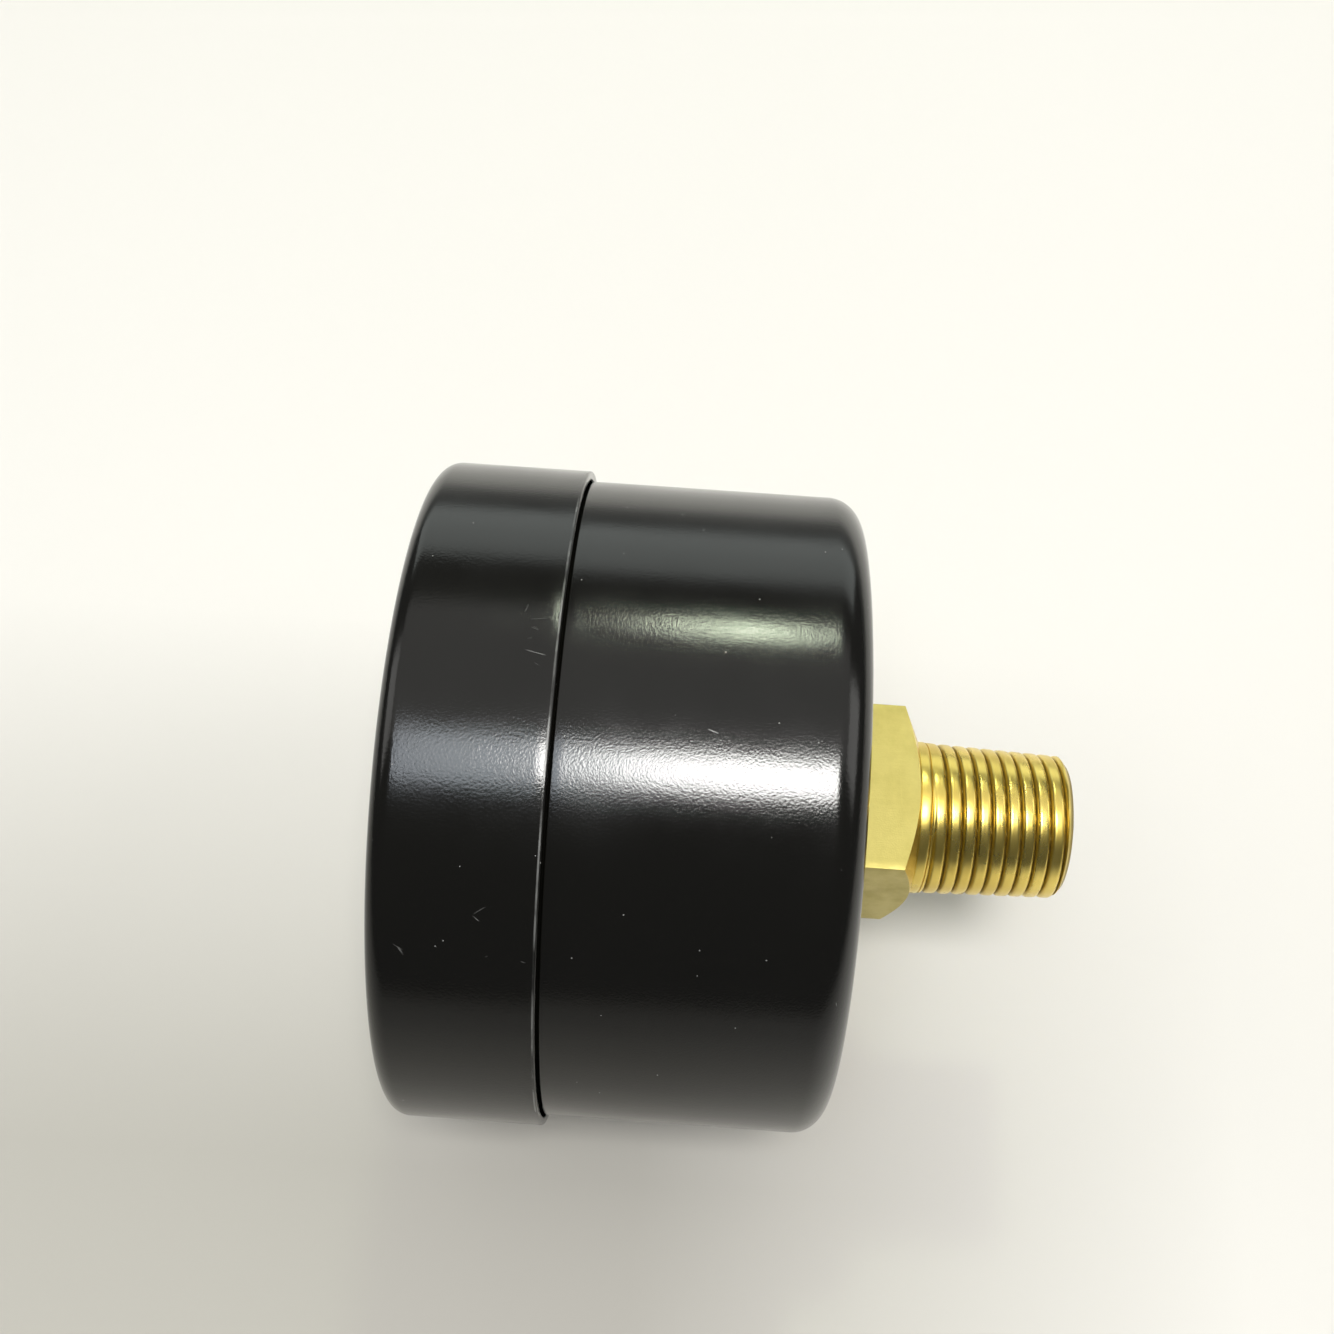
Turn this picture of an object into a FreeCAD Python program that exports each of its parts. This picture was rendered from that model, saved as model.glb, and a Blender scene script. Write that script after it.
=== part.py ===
import FreeCAD, Part
import math
import os

from FreeCAD import Vector

# A small pressure gauge with its process connection at the centre of the back.
# The gauge's axis is Y: the dial faces -Y, the stem points to +Y and 12 o'clock is +Z.
# The origin is on the stem's axis, at the gauge plane of its taper pipe thread.
# Depths are counted back from the front of the bezel. Angles are seen from the front,
# anticlockwise from +X, so the pointer turns clockwise, which is positive about +Y.
# Every size is in millimetres.

# ---------------------------------------------------------------- case, bezel and window
case_od = 41.2
case_depth = 26.9            # front of the bezel to the back of the case
case_sheet = 0.7
case_corner = 2.0
case_mouth = 3.6             # depth of the case's front edge
neck_step = 0.3              # the case is drawn in by this under the bezel
shoulder_slope = 0.08
bead_height = 0.42
bead_depth = 6.5
bezel_sheet = 0.5
bezel_depth = 9.5
bezel_corner = 1.2
bezel_edge_round = 0.2
lip_round = 0.2
bezel_fit = 0.03             # between the case's bead and the bezel
bezel_gap = 0.05             # open groove between the bezel's edge and the case's shoulder
lip_width = 3.05
window_thickness = 1.8
window_fit = 0.05
gasket_setback = 0.4
past = 1.0                   # how far every cutter runs past the face it opens
same_place = 1e-4            # two edges nearer than this are in the same place

# ---------------------------------------------------------------- dial and pointer
dial_depth = 6.6
dial_thickness = 0.5
dial_fit = 0.4
dial_hole_r = 1.6
dial_screw_x = 8.4
dial_post_r = 1.4
dial_screw_r = 0.7
dial_screw_head = 0.7
dial_screw_grip = 3.0        # length of screw in the post
screw_slot = 0.35            # width and depth of the slots in the small screws
post_rivet_r = 0.85
zero_angle = 225.0
pointer_sheet = 0.3
pointer_height = 1.7         # back of the pointer above the face of the dial
pointer_length = 14.6
pointer_point = 0.3
pointer_tail = 5.2
pointer_root_half = 0.8
pointer_tip_half = 0.12
pointer_tail_half = 1.2
pointer_hub_r = 1.9
bush_r = 1.1
bush_flange_r = 1.7
bush_height = 0.6            # of the bush in front of the needle, and of its flange behind
shaft_stand = 0.4            # of the shaft in front of the needle
stop_pin_r = 0.35
stop_pin_radius = 11.0
stop_pin_gap = 0.04
stop_pin_stand = 0.3         # of the pin in front of the needle

# ---------------------------------------------------------------- socket and stem
stem_square = 11.1
square_chamfer = 0.15
square_end = 4.86            # the square's end behind the case, at the middle of a flat
square_end_angle = 24.0      # its corners are turned back by this angle
neck_r = 5.0
neck_end = 5.73
stem_length = 14.8
thread_pitch = 0.9407
thread_depth = 0.36          # of the narrow grooves between the blunt, rounded ridges
ridge_width = 0.91
crest_flat = 0.03
ridge_fullness = 3.4         # 2 is an ellipse; more makes the ridges flatter on top
flank_steps = 6
thread_run_out = 0.42        # plain metal left between the last groove and the neck
thread_taper = 1 / 32        # on the radius
thread_gauge_r = 4.8         # radius over the blunt crests at the gauge plane
thread_gauge_length = 4.1    # gauge plane to the end of the stem
thread_end_chamfer = 0.45
inlet_r = 2.0
inlet_depth = 15.5
passage_r = 0.8
restrictor_length = 3.0
restrictor_hole_r = 0.25
restrictor_gap = 0.6         # to the bottom of the inlet
restrictor_slot = 0.5
inlet_chamfer = 0.4
port_r = 0.48                # the last drillings, into the tube
plug_length = 1.7
plug_sink = 0.5
flange_margin = 2.9          # of the flange outside the axes of the case screws
flange_thickness = 3.8
arm_overlap = 3.0            # of the arm into the flange
platform_height = 3.4
hole_clearance = 0.15        # the square stem in the hole in the case
case_screw_margin = 3.8      # axis of each case screw to the nearest flat of the stem
case_screw_r = 1.5
case_screw_head_r = 2.7
case_screw_length = 3.6
case_screw_slot = 0.7
hole_bottom = 0.5            # room past the end of a screw

# ---------------------------------------------------------------- bourdon tube
tube_wall_room = 5.4         # tube's centreline to the case's wall, for the travel of its tip
tube_thickness = 2.0
tube_width = 5.0
tube_wall = 0.3
tube_root_angle = 240.0
tube_tip_angle = -20.0
tube_lead = 0.5              # front edge of the tube behind the front of the front plate
tube_socket_angle = 8.0
slot_overrun = 4.0           # degrees that the tube's slot is cut past the tube's end
bore_overrun = 2.0           # degrees that the tube's bore is cut past its ends
tower_angle = 12.0
tower_wall = 0.6
tower_foot = 1.1             # the arm's reach beyond the tower
tip_block_angle = 11.0
tip_block_wall = 0.3
ear_root = 0.6               # share of the block's length at which its ear starts
tip_pin_inset = 2.5
tip_pin_angle = 10.0         # beyond the end of the tube

# ---------------------------------------------------------------- movement
plate_thickness = 1.0
plate_gap = 4.6
plate_margin = 2.2
foot_drop = 0.6             # lowest corner of the plates below the sector's pivot
ear_r = 1.7
upper_pillar = (6.2, 1.5)
lower_pillar_angle = 244.4
plate_room = 0.3             # plates to the tower
pillar_r = 1.2
movement_screw_r = 0.6
movement_screw_head_r = 1.2
movement_screw_head = 0.7
movement_screw_grip = 2.4    # length of screw in the socket
gear_module = 0.2
pinion_teeth = 12
sector_teeth = 72            # on a whole wheel
sector_first_tooth = -11
sector_last_tooth = 2
tooth_thinning = 0.06
sector_addendum = 0.7        # these four are in modules
sector_dedendum = 1.3
pinion_addendum = 0.9
pinion_dedendum = 1.05
pinion_overhang = 0.3        # of the pinion's teeth past each face of the sector
pressure_angle = 20.0
sector_thickness = 1.0
sector_lead = 1.1            # front plate to sector
sector_hub_r = 1.9
sector_rim = 1.0
sector_spoke = 1.0
tail_length = 3.0
tail_angle = -85.0
tail_r = 0.9
link_gap = 0.2
link_thickness = 0.6
link_r = 0.95
link_waist = 0.55
pin_r = 0.4
pin_head_r = 0.8
pin_head = 0.4
pin_shoulder = 0.2           # the tube's ear starts this much in front of the sector
link_play = 0.15
open_pivot_room = 0.16       # the link's slack on the sector's pin
running_fit = 0.03
end_play = 0.1
arbor_r = 0.7
pivot_r = 0.35
shaft_r = 0.5
collet_r = 0.9
hairspring_pitch = 0.7
hairspring_half_turns = 9
hairspring_thickness = 0.1
hairspring_height = 0.6
hairspring_gap = 0.3         # behind the link
collet_lip = 0.2             # of the collet, past each edge of the hairspring
stud_r = 0.35
press_fit = 0.01             # between pieces that are pressed or screwed together

# ---------------------------------------------------------------- derived sizes and places
case_r = case_od / 2
case_neck_r = case_r - neck_step
case_inner_r = case_r - case_sheet
case_neck_inner_r = case_neck_r - case_sheet
bezel_inner_r = case_neck_r + bead_height + bezel_fit
bezel_r = bezel_inner_r + bezel_sheet
lip_r = bezel_r - lip_width
window_r = bezel_inner_r - (bezel_corner - bezel_sheet) - window_fit
window_back = bezel_sheet + window_thickness
shoulder_depth = bezel_depth + bezel_gap
dial_r = case_neck_inner_r - dial_fit
dial_back = dial_depth + dial_thickness
pointer_back = dial_depth - pointer_height

case_back = case_depth - case_sheet
flange_front = case_back - flange_thickness
platform_front = flange_front - platform_height
back_plate_front = platform_front - plate_thickness
front_plate_back = back_plate_front - plate_gap
front_plate_front = front_plate_back - plate_thickness
sector_front = front_plate_back + sector_lead
sector_back = sector_front + sector_thickness
link_front = sector_back + link_gap
link_back = link_front + link_thickness
stem_end = case_depth + stem_length
origin_depth = stem_end - thread_gauge_length
passage_depth = flange_front + flange_thickness / 2
case_screw_x = stem_square / 2 + case_screw_margin
flange_r = case_screw_x + flange_margin

pinion_pitch_r = gear_module * pinion_teeth / 2
sector_pitch_r = gear_module * sector_teeth / 2
sector_pivot = (0.0, -(pinion_pitch_r + sector_pitch_r))
tube_r = case_inner_r - tube_wall_room
tube_front = front_plate_front + tube_lead
tube_back = tube_front + tube_width
tube_middle = (tube_front + tube_back) / 2
tower_inner_r = tube_r - tube_thickness / 2 - tower_wall
tower_outer_r = tube_r + tube_thickness / 2 + tower_wall
arm_r = tower_outer_r + tower_foot
hairspring_front = link_back + hairspring_gap

Y_AXIS = Vector(0, 1, 0)
ORIGIN = Vector(0, 0, 0)


# ---------------------------------------------------------------- shapes used all over
def at(x, z, depth):
    """A point, from its place seen from the front and its depth behind the bezel's front."""
    return Vector(x, depth - origin_depth, z)


def polar(radius, angle, centre=(0.0, 0.0)):
    """Place of a point at an angle about a centre, seen from the front."""
    turn = math.radians(angle)
    return (centre[0] + radius * math.cos(turn), centre[1] + radius * math.sin(turn))


def disc(radius, front, back, centre=(0.0, 0.0)):
    return Part.makeCylinder(radius, back - front, at(centre[0], centre[1], front), Y_AXIS)


def cone(front_r, back_r, front, back, centre=(0.0, 0.0)):
    return Part.makeCone(front_r, back_r, back - front, at(centre[0], centre[1], front), Y_AXIS)


def turned(outline):
    """A solid of revolution about the gauge's axis, from its (radius, depth) corners."""
    corners = [at(radius, 0, depth) for radius, depth in outline]
    return Part.Face(Part.makePolygon(corners + corners[:1])).revolve(ORIGIN, Y_AXIS, 360)


def ring_sector(inner_r, outer_r, start, end, front, back):
    """A block bounded by two radii and two angles."""
    corners = [at(inner_r, 0, front), at(outer_r, 0, front), at(outer_r, 0, back), at(inner_r, 0, back)]
    face = Part.Face(Part.makePolygon(corners + corners[:1]))
    face.rotate(ORIGIN, Y_AXIS, -end)
    return face.revolve(ORIGIN, Y_AXIS, end - start)


def flat(outline, front, back):
    """A plate cut to a straight-sided outline."""
    corners = [at(x, z, front) for x, z in outline]
    return Part.Face(Part.makePolygon(corners + corners[:1])).extrude(Y_AXIS * (back - front))


def rounded_plate(centres, radius, front, back):
    """A plate whose outline runs round equal circles at the given centres."""
    corners = [at(x, z, front) for x, z in centres]
    outline = Part.makePolygon(corners + corners[:1]).makeOffset2D(radius)
    return Part.Face(outline).extrude(Y_AXIS * (back - front))


def bar(start, end, radius, front, back):
    """A flat strip with round ends."""
    run = Vector(end[0] - start[0], 0, end[1] - start[1])
    side = Vector(-run.z, 0, run.x).normalize() * radius
    corners = [at(start[0], start[1], front) + side, at(start[0], start[1], front) - side,
               at(end[0], end[1], front) - side, at(end[0], end[1], front) + side]
    strip = Part.Face(Part.makePolygon(corners + corners[:1])).extrude(Y_AXIS * (back - front))
    return strip.fuse([disc(radius, front, back, start), disc(radius, front, back, end)]).removeSplitter()


def fillet_rims(shape, radius, depth, rim_r):
    """Round the circular edges of one radius at one depth."""
    rims = [edge for edge in shape.Edges
            if isinstance(edge.Curve, Part.Circle) and abs(edge.Curve.Radius - rim_r) < same_place
            and abs(edge.Curve.Center.y - at(0, 0, depth).y) < same_place]
    return shape.makeFillet(radius, rims)


def slotted(head_r, front, centre):
    """The cutter of a screwdriver slot across a round head."""
    x, z = centre
    corner = at(x - head_r - past, z - screw_slot / 2, front - past)
    return Part.makeBox(2 * (head_r + past), screw_slot + past, screw_slot, corner)


def save(name, shape):
    solid = shape.removeSplitter()
    solid.exportStep("parts/%s.step" % name)
    print("%-22s solids %d  volume %10.3f  valid %s"
          % (name, len(solid.Solids), solid.Volume, solid.isValid()))


# ---------------------------------------------------------------- case, bezel and window
def case_screw_places():
    return [(-case_screw_x, 0.0), (case_screw_x, 0.0)]


def make_case():
    """Deep-drawn steel cup, necked under the bezel, with a bead that the bezel snaps over."""
    outer = turned([(0, case_mouth), (case_neck_r, case_mouth), (case_neck_r, shoulder_depth),
                    (case_r, shoulder_depth + shoulder_slope), (case_r, case_depth), (0, case_depth)])
    outer = fillet_rims(outer, case_corner, case_depth, case_r)
    bead = Part.makeTorus(case_neck_r, bead_height, at(0, 0, bead_depth), Y_AXIS)
    neck_turn = shoulder_depth + case_sheet
    inside = turned([(0, case_mouth - past), (case_neck_inner_r, case_mouth - past),
                     (case_neck_inner_r, neck_turn), (case_inner_r, neck_turn + shoulder_slope),
                     (case_inner_r, case_back), (0, case_back)])
    inside = fillet_rims(inside, case_corner - case_sheet, case_back, case_inner_r)
    opening = stem_square / 2 + hole_clearance
    square_hole = flat([(-opening, -opening), (opening, -opening), (opening, opening),
                        (-opening, opening)], case_back - past, case_depth + past)
    case = outer.fuse(bead).cut(inside).cut(square_hole)
    for place in case_screw_places():
        case = case.cut(screw_seat(place))
    return case


def screw_seat(place):
    """Countersunk hole through the back of the case and into the socket's flange."""
    tip_r = case_screw_r + press_fit
    head_r = case_screw_head_r + press_fit
    sink = cone(tip_r, head_r, case_depth - (head_r - tip_r), case_depth, place)
    clear = disc(head_r, case_depth, case_depth + past, place)
    hole = disc(tip_r, case_depth - case_screw_length - hole_bottom, case_depth, place)
    return hole.fuse([sink, clear])


def make_case_screws():
    """Two countersunk screws from the back of the case into the socket."""
    screws = []
    for place in case_screw_places():
        sink = cone(case_screw_r, case_screw_head_r,
                    case_depth - (case_screw_head_r - case_screw_r), case_depth, place)
        shank = disc(case_screw_r, case_depth - case_screw_length, case_depth, place)
        x, z = place
        corner = at(x - case_screw_head_r, z - case_screw_slot / 2, case_depth - case_screw_slot)
        slot = Part.makeBox(2 * case_screw_head_r, case_screw_slot + past, case_screw_slot, corner)
        screws.append(shank.fuse(sink).cut(slot).removeSplitter())
    return Part.makeCompound(screws)


def make_bezel():
    """Pressed steel ring with a flat front lip."""
    shell = disc(bezel_r, 0, bezel_depth)
    shell = fillet_rims(shell, bezel_corner, 0, bezel_r)
    shell = fillet_rims(shell, bezel_edge_round, bezel_depth, bezel_r)
    inside = disc(bezel_inner_r, bezel_sheet, bezel_depth + past)
    inside = fillet_rims(inside, bezel_corner - bezel_sheet, bezel_sheet, bezel_inner_r)
    ring = shell.cut(inside).cut(disc(lip_r, -past, bezel_sheet + past))
    return fillet_rims(ring, lip_round, 0, lip_r)


def make_window():
    """Clear plastic disc held between the bezel's lip and the gasket."""
    return disc(window_r, bezel_sheet, window_back)


def make_gasket():
    """Flat rubber ring between the window and the case's front edge."""
    return disc(window_r, window_back, case_mouth).cut(disc(lip_r + gasket_setback, 0, case_mouth + past))


# ---------------------------------------------------------------- dial and pointer
def dial_screw_places():
    return [(-dial_screw_x, 0.0), (dial_screw_x, 0.0)]


def stop_pin_place():
    half_width = pointer_half_width(stop_pin_radius)
    offset = math.degrees((half_width + stop_pin_r + stop_pin_gap) / stop_pin_radius)
    return polar(stop_pin_radius, zero_angle + offset)


def pointer_half_width(radius):
    """Half the needle's width, which tapers from its hub to its point."""
    taper = (pointer_tip_half - pointer_root_half) / pointer_length
    return pointer_root_half + taper * radius


def make_dial():
    dial = disc(dial_r, dial_depth, dial_back).cut(disc(dial_hole_r, 0, dial_back + past))
    for place in dial_screw_places():
        dial = dial.cut(disc(dial_screw_r + press_fit, 0, dial_back + past, place))
    return dial.cut(disc(stop_pin_r + press_fit, 0, dial_back + past, stop_pin_place()))


def make_dial_screws():
    screws = []
    for place in dial_screw_places():
        head = disc(dial_post_r, dial_depth - dial_screw_head, dial_depth, place)
        shank = disc(dial_screw_r, dial_depth, dial_back + dial_screw_grip, place)
        screws.append(head.fuse(shank).cut(slotted(dial_post_r, dial_depth - dial_screw_head, place)))
    return Part.makeCompound(screws)


def make_dial_posts():
    """Two turned posts, riveted into the front plate, that carry the dial."""
    posts = []
    for place in dial_screw_places():
        post = disc(dial_post_r, dial_back, front_plate_front, place)
        rivet = disc(post_rivet_r, front_plate_front, front_plate_back, place)
        hole_end = dial_back + dial_screw_grip + hole_bottom
        tapped = disc(dial_screw_r + press_fit, dial_back - past, hole_end, place)
        posts.append(post.fuse(rivet).cut(tapped).removeSplitter())
    return Part.makeCompound(posts)


def make_stop_pin():
    """Pin in the dial that the needle rests against at zero."""
    return disc(stop_pin_r, pointer_back - pointer_sheet - stop_pin_stand, dial_back, stop_pin_place())


def make_pointer():
    """Sheet needle with a round hub and a wider tail that balances it."""
    half = pointer_half_width
    side = [polar(pointer_length, 0), (pointer_length - pointer_point, half(pointer_length)),
            (0, half(0)), (-pointer_tail, pointer_tail_half)]
    outline = side + [(x, -z) for x, z in reversed(side[1:])]
    front = pointer_back - pointer_sheet
    needle = flat(outline, front, pointer_back).fuse(disc(pointer_hub_r, front, pointer_back))
    needle = needle.fuse(disc(pointer_tail_half, front, pointer_back, (-pointer_tail, 0.0)))
    needle = needle.cut(disc(bush_r + press_fit, 0, dial_depth))
    needle.rotate(ORIGIN, Y_AXIS, -zero_angle)
    return needle


def make_pointer_bush():
    """Brass bush that is riveted into the needle and pressed on the shaft."""
    front = pointer_back - pointer_sheet - bush_height
    flange = disc(bush_flange_r, pointer_back, pointer_back + bush_height)
    hole = disc(shaft_r + press_fit, front - past, dial_depth)
    return disc(bush_r, front, pointer_back).fuse(flange).cut(hole)


# ---------------------------------------------------------------- socket and its stem
def thread_radius(depth):
    """Major radius of the taper thread, which grows by 1 in 32 away from its end."""
    return thread_gauge_r + (origin_depth - depth) * thread_taper


def make_stem():
    """Square, turned neck and taper thread, from the back of the flange to the end."""
    half = stem_square / 2
    trim = square_chamfer
    square = flat([(half - trim, -half), (half, -half + trim), (half, half - trim), (half - trim, half),
                   (-half + trim, half), (-half, half - trim), (-half, -half + trim), (-half + trim, -half)],
                  case_back - past, case_depth + square_end)
    corner_r = half * math.sqrt(2) + past
    corner_end = square_end - (corner_r - half) * math.tan(math.radians(square_end_angle))
    end_cone = turned([(0, case_back - past), (corner_r, case_back - past),
                       (corner_r, case_depth + corner_end),
                       (half, case_depth + square_end), (0, case_depth + square_end)])
    thread_start = case_depth + neck_end
    chamfer = thread_end_chamfer
    blank = turned([(0, case_depth), (neck_r, case_depth), (neck_r, thread_start),
                    (thread_radius(thread_start), thread_start),
                    (thread_radius(stem_end - chamfer), stem_end - chamfer),
                    (thread_radius(stem_end) - chamfer, stem_end), (0, stem_end)])
    return square.common(end_cone).fuse(blank.cut(thread_groove(thread_start)))


def ridge_flank():
    """(height above the root, half the ridge's width) from the root to the crest."""
    flank = []
    for step in range(flank_steps + 1):
        turn = math.radians(90 * step / flank_steps)
        height = thread_depth * math.sin(turn) ** (2 / ridge_fullness)
        flank.append((height, ridge_width / 2 * max(0.0, math.cos(turn)) ** (2 / ridge_fullness)))
    return flank


def thread_groove(thread_start):
    """The helical groove, wound from past the end of the stem up to the neck."""
    start_depth = stem_end + thread_pitch
    length = start_depth - thread_start - thread_run_out
    root_r = thread_radius(start_depth) - thread_depth
    flank = [(root_r + height, (thread_pitch - 2 * half_ridge) / 2)
             for height, half_ridge in ridge_flank()]
    crest_half = (thread_pitch - crest_flat) / 2
    flank = [(radius, min(half, crest_half)) for radius, half in flank]
    flank.append((root_r + 2 * thread_depth, crest_half))
    helix = Part.makeLongHelix(thread_pitch, length, root_r, math.degrees(math.atan(thread_taper)))
    corners = [Vector(radius, 0, -half) for radius, half in flank]
    corners += [Vector(radius, 0, half) for radius, half in reversed(flank)]
    profile = Part.makePolygon(corners + corners[:1])
    groove = Part.Wire(helix.Edges).makePipeShell([profile], True, True)
    groove.rotate(ORIGIN, Vector(1, 0, 0), 90)
    groove.translate(at(0, 0, start_depth))
    return groove


def movement_screw_places():
    x, z = upper_pillar
    return [(-x, z), (x, z), polar(tower_inner_r - plate_room - plate_margin, lower_pillar_angle)]


def tower_place():
    return polar(tube_r, tube_root_angle + tower_angle / 2)


def make_socket():
    """Brass socket: stem, flange inside the case, platform for the movement and the
    tower that the bourdon tube is soldered into, with its passages drilled through."""
    flange = disc(flange_r, flange_front, case_back)
    tower_start = tube_root_angle - tube_socket_angle
    tower_end = tube_root_angle + tower_angle
    arm = ring_sector(flange_r - arm_overlap, arm_r, tower_start, tower_end, flange_front, case_back)
    platform = rounded_plate(movement_screw_places(), plate_margin, platform_front, flange_front)
    tower = ring_sector(tower_inner_r, tower_outer_r, tower_start, tower_end,
                        tube_front - tower_wall, flange_front)
    body = flange.fuse([arm, platform, tower, make_stem()])

    slot = tube_solid(tube_root_angle - tube_socket_angle - slot_overrun, tube_root_angle, press_fit)
    inlet = disc(inlet_r, stem_end - inlet_depth, stem_end + past)
    inlet_mouth = cone(inlet_r, inlet_r + inlet_chamfer, stem_end - inlet_chamfer, stem_end)
    passage = disc(passage_r, passage_depth, stem_end - inlet_depth + past)
    cuts = [slot, inlet, inlet_mouth, passage, cross_passage(passage_r, 0, arm_r + past)]
    riser = disc(port_r, tube_middle, passage_depth, tower_place())
    port_start = at(*tower_place(), tube_middle)
    port_end = at(*polar(tube_r, tube_root_angle), tube_middle)
    port = Part.makeCylinder(port_r, (port_end - port_start).Length, port_start,
                             port_end - port_start)
    cuts += [riser, port]
    for place in movement_screw_places():
        depth = platform_front + movement_screw_grip + hole_bottom
        cuts.append(disc(movement_screw_r + press_fit, platform_front - past, depth, place))
    for place in case_screw_places():
        cuts.append(screw_seat(place))
    return body.cut(cuts)


def cross_passage(radius, start, end):
    """A round bar along the drilling from the stem's axis to the foot of the tower."""
    x, z = polar(1, tube_root_angle + tower_angle / 2)
    return Part.makeCylinder(radius, end - start, at(x * start, z * start, passage_depth), Vector(x, 0, z))


def make_passage_plug():
    """Pin pressed into the mouth of the cross drilling."""
    return cross_passage(passage_r - press_fit, arm_r - plug_sink - plug_length, arm_r - plug_sink)


def make_restrictor():
    """Slotted plug with a fine hole, screwed into the bottom of the inlet."""
    front = stem_end - inlet_depth + restrictor_gap
    back = front + restrictor_length
    plug = disc(inlet_r - press_fit, front, back).cut(disc(restrictor_hole_r, front - past, back + past))
    corner = at(-inlet_r, -restrictor_slot / 2, back - restrictor_slot)
    return plug.cut(Part.makeBox(2 * inlet_r, restrictor_slot + past, restrictor_slot, corner))


# ---------------------------------------------------------------- bourdon tube and link
def tube_solid(start, end, growth):
    """A solid bar of the tube's flattened section, bent between two angles."""
    radius = tube_thickness / 2 + growth
    reach = tube_width / 2 - tube_thickness / 2
    inner, outer = tube_r - radius, tube_r + radius
    front, back = tube_middle - reach, tube_middle + reach
    section = Part.Wire([
        Part.Arc(at(inner, 0, front), at(tube_r, 0, front - radius), at(outer, 0, front)).toShape(),
        Part.LineSegment(at(outer, 0, front), at(outer, 0, back)).toShape(),
        Part.Arc(at(outer, 0, back), at(tube_r, 0, back + radius), at(inner, 0, back)).toShape(),
        Part.LineSegment(at(inner, 0, back), at(inner, 0, front)).toShape()])
    face = Part.Face(section)
    face.rotate(ORIGIN, Y_AXIS, -end)
    return face.revolve(ORIGIN, Y_AXIS, end - start)


def make_tube():
    """C-shaped bourdon tube with a flattened hollow section."""
    outer = tube_solid(tube_tip_angle, tube_root_angle, 0)
    return outer.cut(tube_solid(tube_tip_angle - bore_overrun, tube_root_angle + bore_overrun, -tube_wall))


def tip_pin_place():
    return polar(tube_r - tip_pin_inset, tube_tip_angle - tip_pin_angle)


def tail_pin_place():
    return polar(tail_length, tail_angle, sector_pivot)


def make_tip_block():
    """End piece soldered over the free end of the tube, with an ear for the link."""
    reach = tube_thickness / 2 + tip_block_wall
    block = ring_sector(tube_r - reach, tube_r + reach, tube_tip_angle - tip_block_angle, tube_tip_angle,
                        tube_front - tip_block_wall / 2, tube_back + tip_block_wall / 2)
    root = polar(tube_r, tube_tip_angle - tip_block_angle * ear_root)
    ear = bar(tip_pin_place(), root, link_r, sector_front - pin_shoulder, sector_back)
    hole = disc(pin_r + press_fit, sector_front - past, sector_back + past, tip_pin_place())
    return block.fuse(ear).cut(hole)


def linkage_pin(place, front):
    """Shouldered pin that ends in a head behind the link."""
    head_front = link_back + link_play
    head = disc(pin_head_r, head_front, head_front + pin_head, place)
    return disc(pin_r, front, head_front, place).fuse(head)


def make_link():
    """Flat link between the tip of the tube and the tail of the sector."""
    start, end = tip_pin_place(), tail_pin_place()
    link = bar(start, end, link_waist, link_front, link_back)
    link = link.fuse([disc(link_r, link_front, link_back, start), disc(link_r, link_front, link_back, end)])
    holes = [disc(pin_r + running_fit, 0, link_back + past, start),
             disc(pin_r + open_pivot_room, 0, link_back + past, end)]
    return link.cut(holes)


# ---------------------------------------------------------------- movement
def tooth(teeth, addendum, dedendum):
    """One gear tooth about the +X direction: (radius, half angle) from its root to its tip."""
    pitch_r = gear_module * teeth / 2
    base_r = pitch_r * math.cos(math.radians(pressure_angle))
    involute = math.tan(math.radians(pressure_angle)) - math.radians(pressure_angle)
    pitch_half = math.pi / (2 * teeth) - tooth_thinning / (2 * pitch_r) + involute

    def half_angle(radius):
        turn = math.acos(min(1.0, base_r / radius))
        return math.degrees(pitch_half - (math.tan(turn) - turn))

    root_r, tip_r = pitch_r - dedendum * gear_module, pitch_r + addendum * gear_module
    radii = [max(root_r, base_r), pitch_r, (pitch_r + tip_r) / 2, tip_r]
    flank = [(radius, half_angle(radius)) for radius in radii]
    return [(root_r, half_angle(max(root_r, base_r)))] + flank


def toothed_outline(teeth, addendum, dedendum, angles, centre):
    flank = tooth(teeth, addendum, dedendum)
    points = []
    for angle in angles:
        points += [polar(radius, angle - half, centre) for radius, half in flank]
        points += [polar(radius, angle + half, centre) for radius, half in reversed(flank)]
    return points


def make_sector():
    """Toothed sector with its tail, which the link pulls."""
    pitch = 360 / sector_teeth
    angles = [90 + index * pitch for index in range(sector_first_tooth, sector_last_tooth + 1)]
    outline = toothed_outline(sector_teeth, sector_addendum, sector_dedendum, angles, sector_pivot)
    wedge = flat([sector_pivot] + outline, sector_front, sector_back)
    rim_r = sector_pitch_r - sector_rim
    first, last = angles[0], angles[-1]
    hub_turn = math.degrees(sector_spoke / sector_hub_r)
    rim_turn = math.degrees(sector_spoke / rim_r)
    hub_end = sector_hub_r + sector_spoke
    window = [polar(hub_end, first + hub_turn, sector_pivot), polar(rim_r, first + rim_turn, sector_pivot),
              polar(rim_r, (first + last) / 2, sector_pivot), polar(rim_r, last - rim_turn, sector_pivot),
              polar(hub_end, last - hub_turn, sector_pivot)]
    wedge = wedge.cut(flat(window, sector_front - past, sector_back + past))
    hub = disc(sector_hub_r, sector_front, sector_back, sector_pivot)
    tail = bar(sector_pivot, tail_pin_place(), tail_r, sector_front, sector_back)
    holes = [disc(arbor_r + press_fit, 0, sector_back + past, sector_pivot),
             disc(pin_r + press_fit, 0, sector_back + past, tail_pin_place())]
    return wedge.fuse([hub, tail]).cut(holes)


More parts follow.
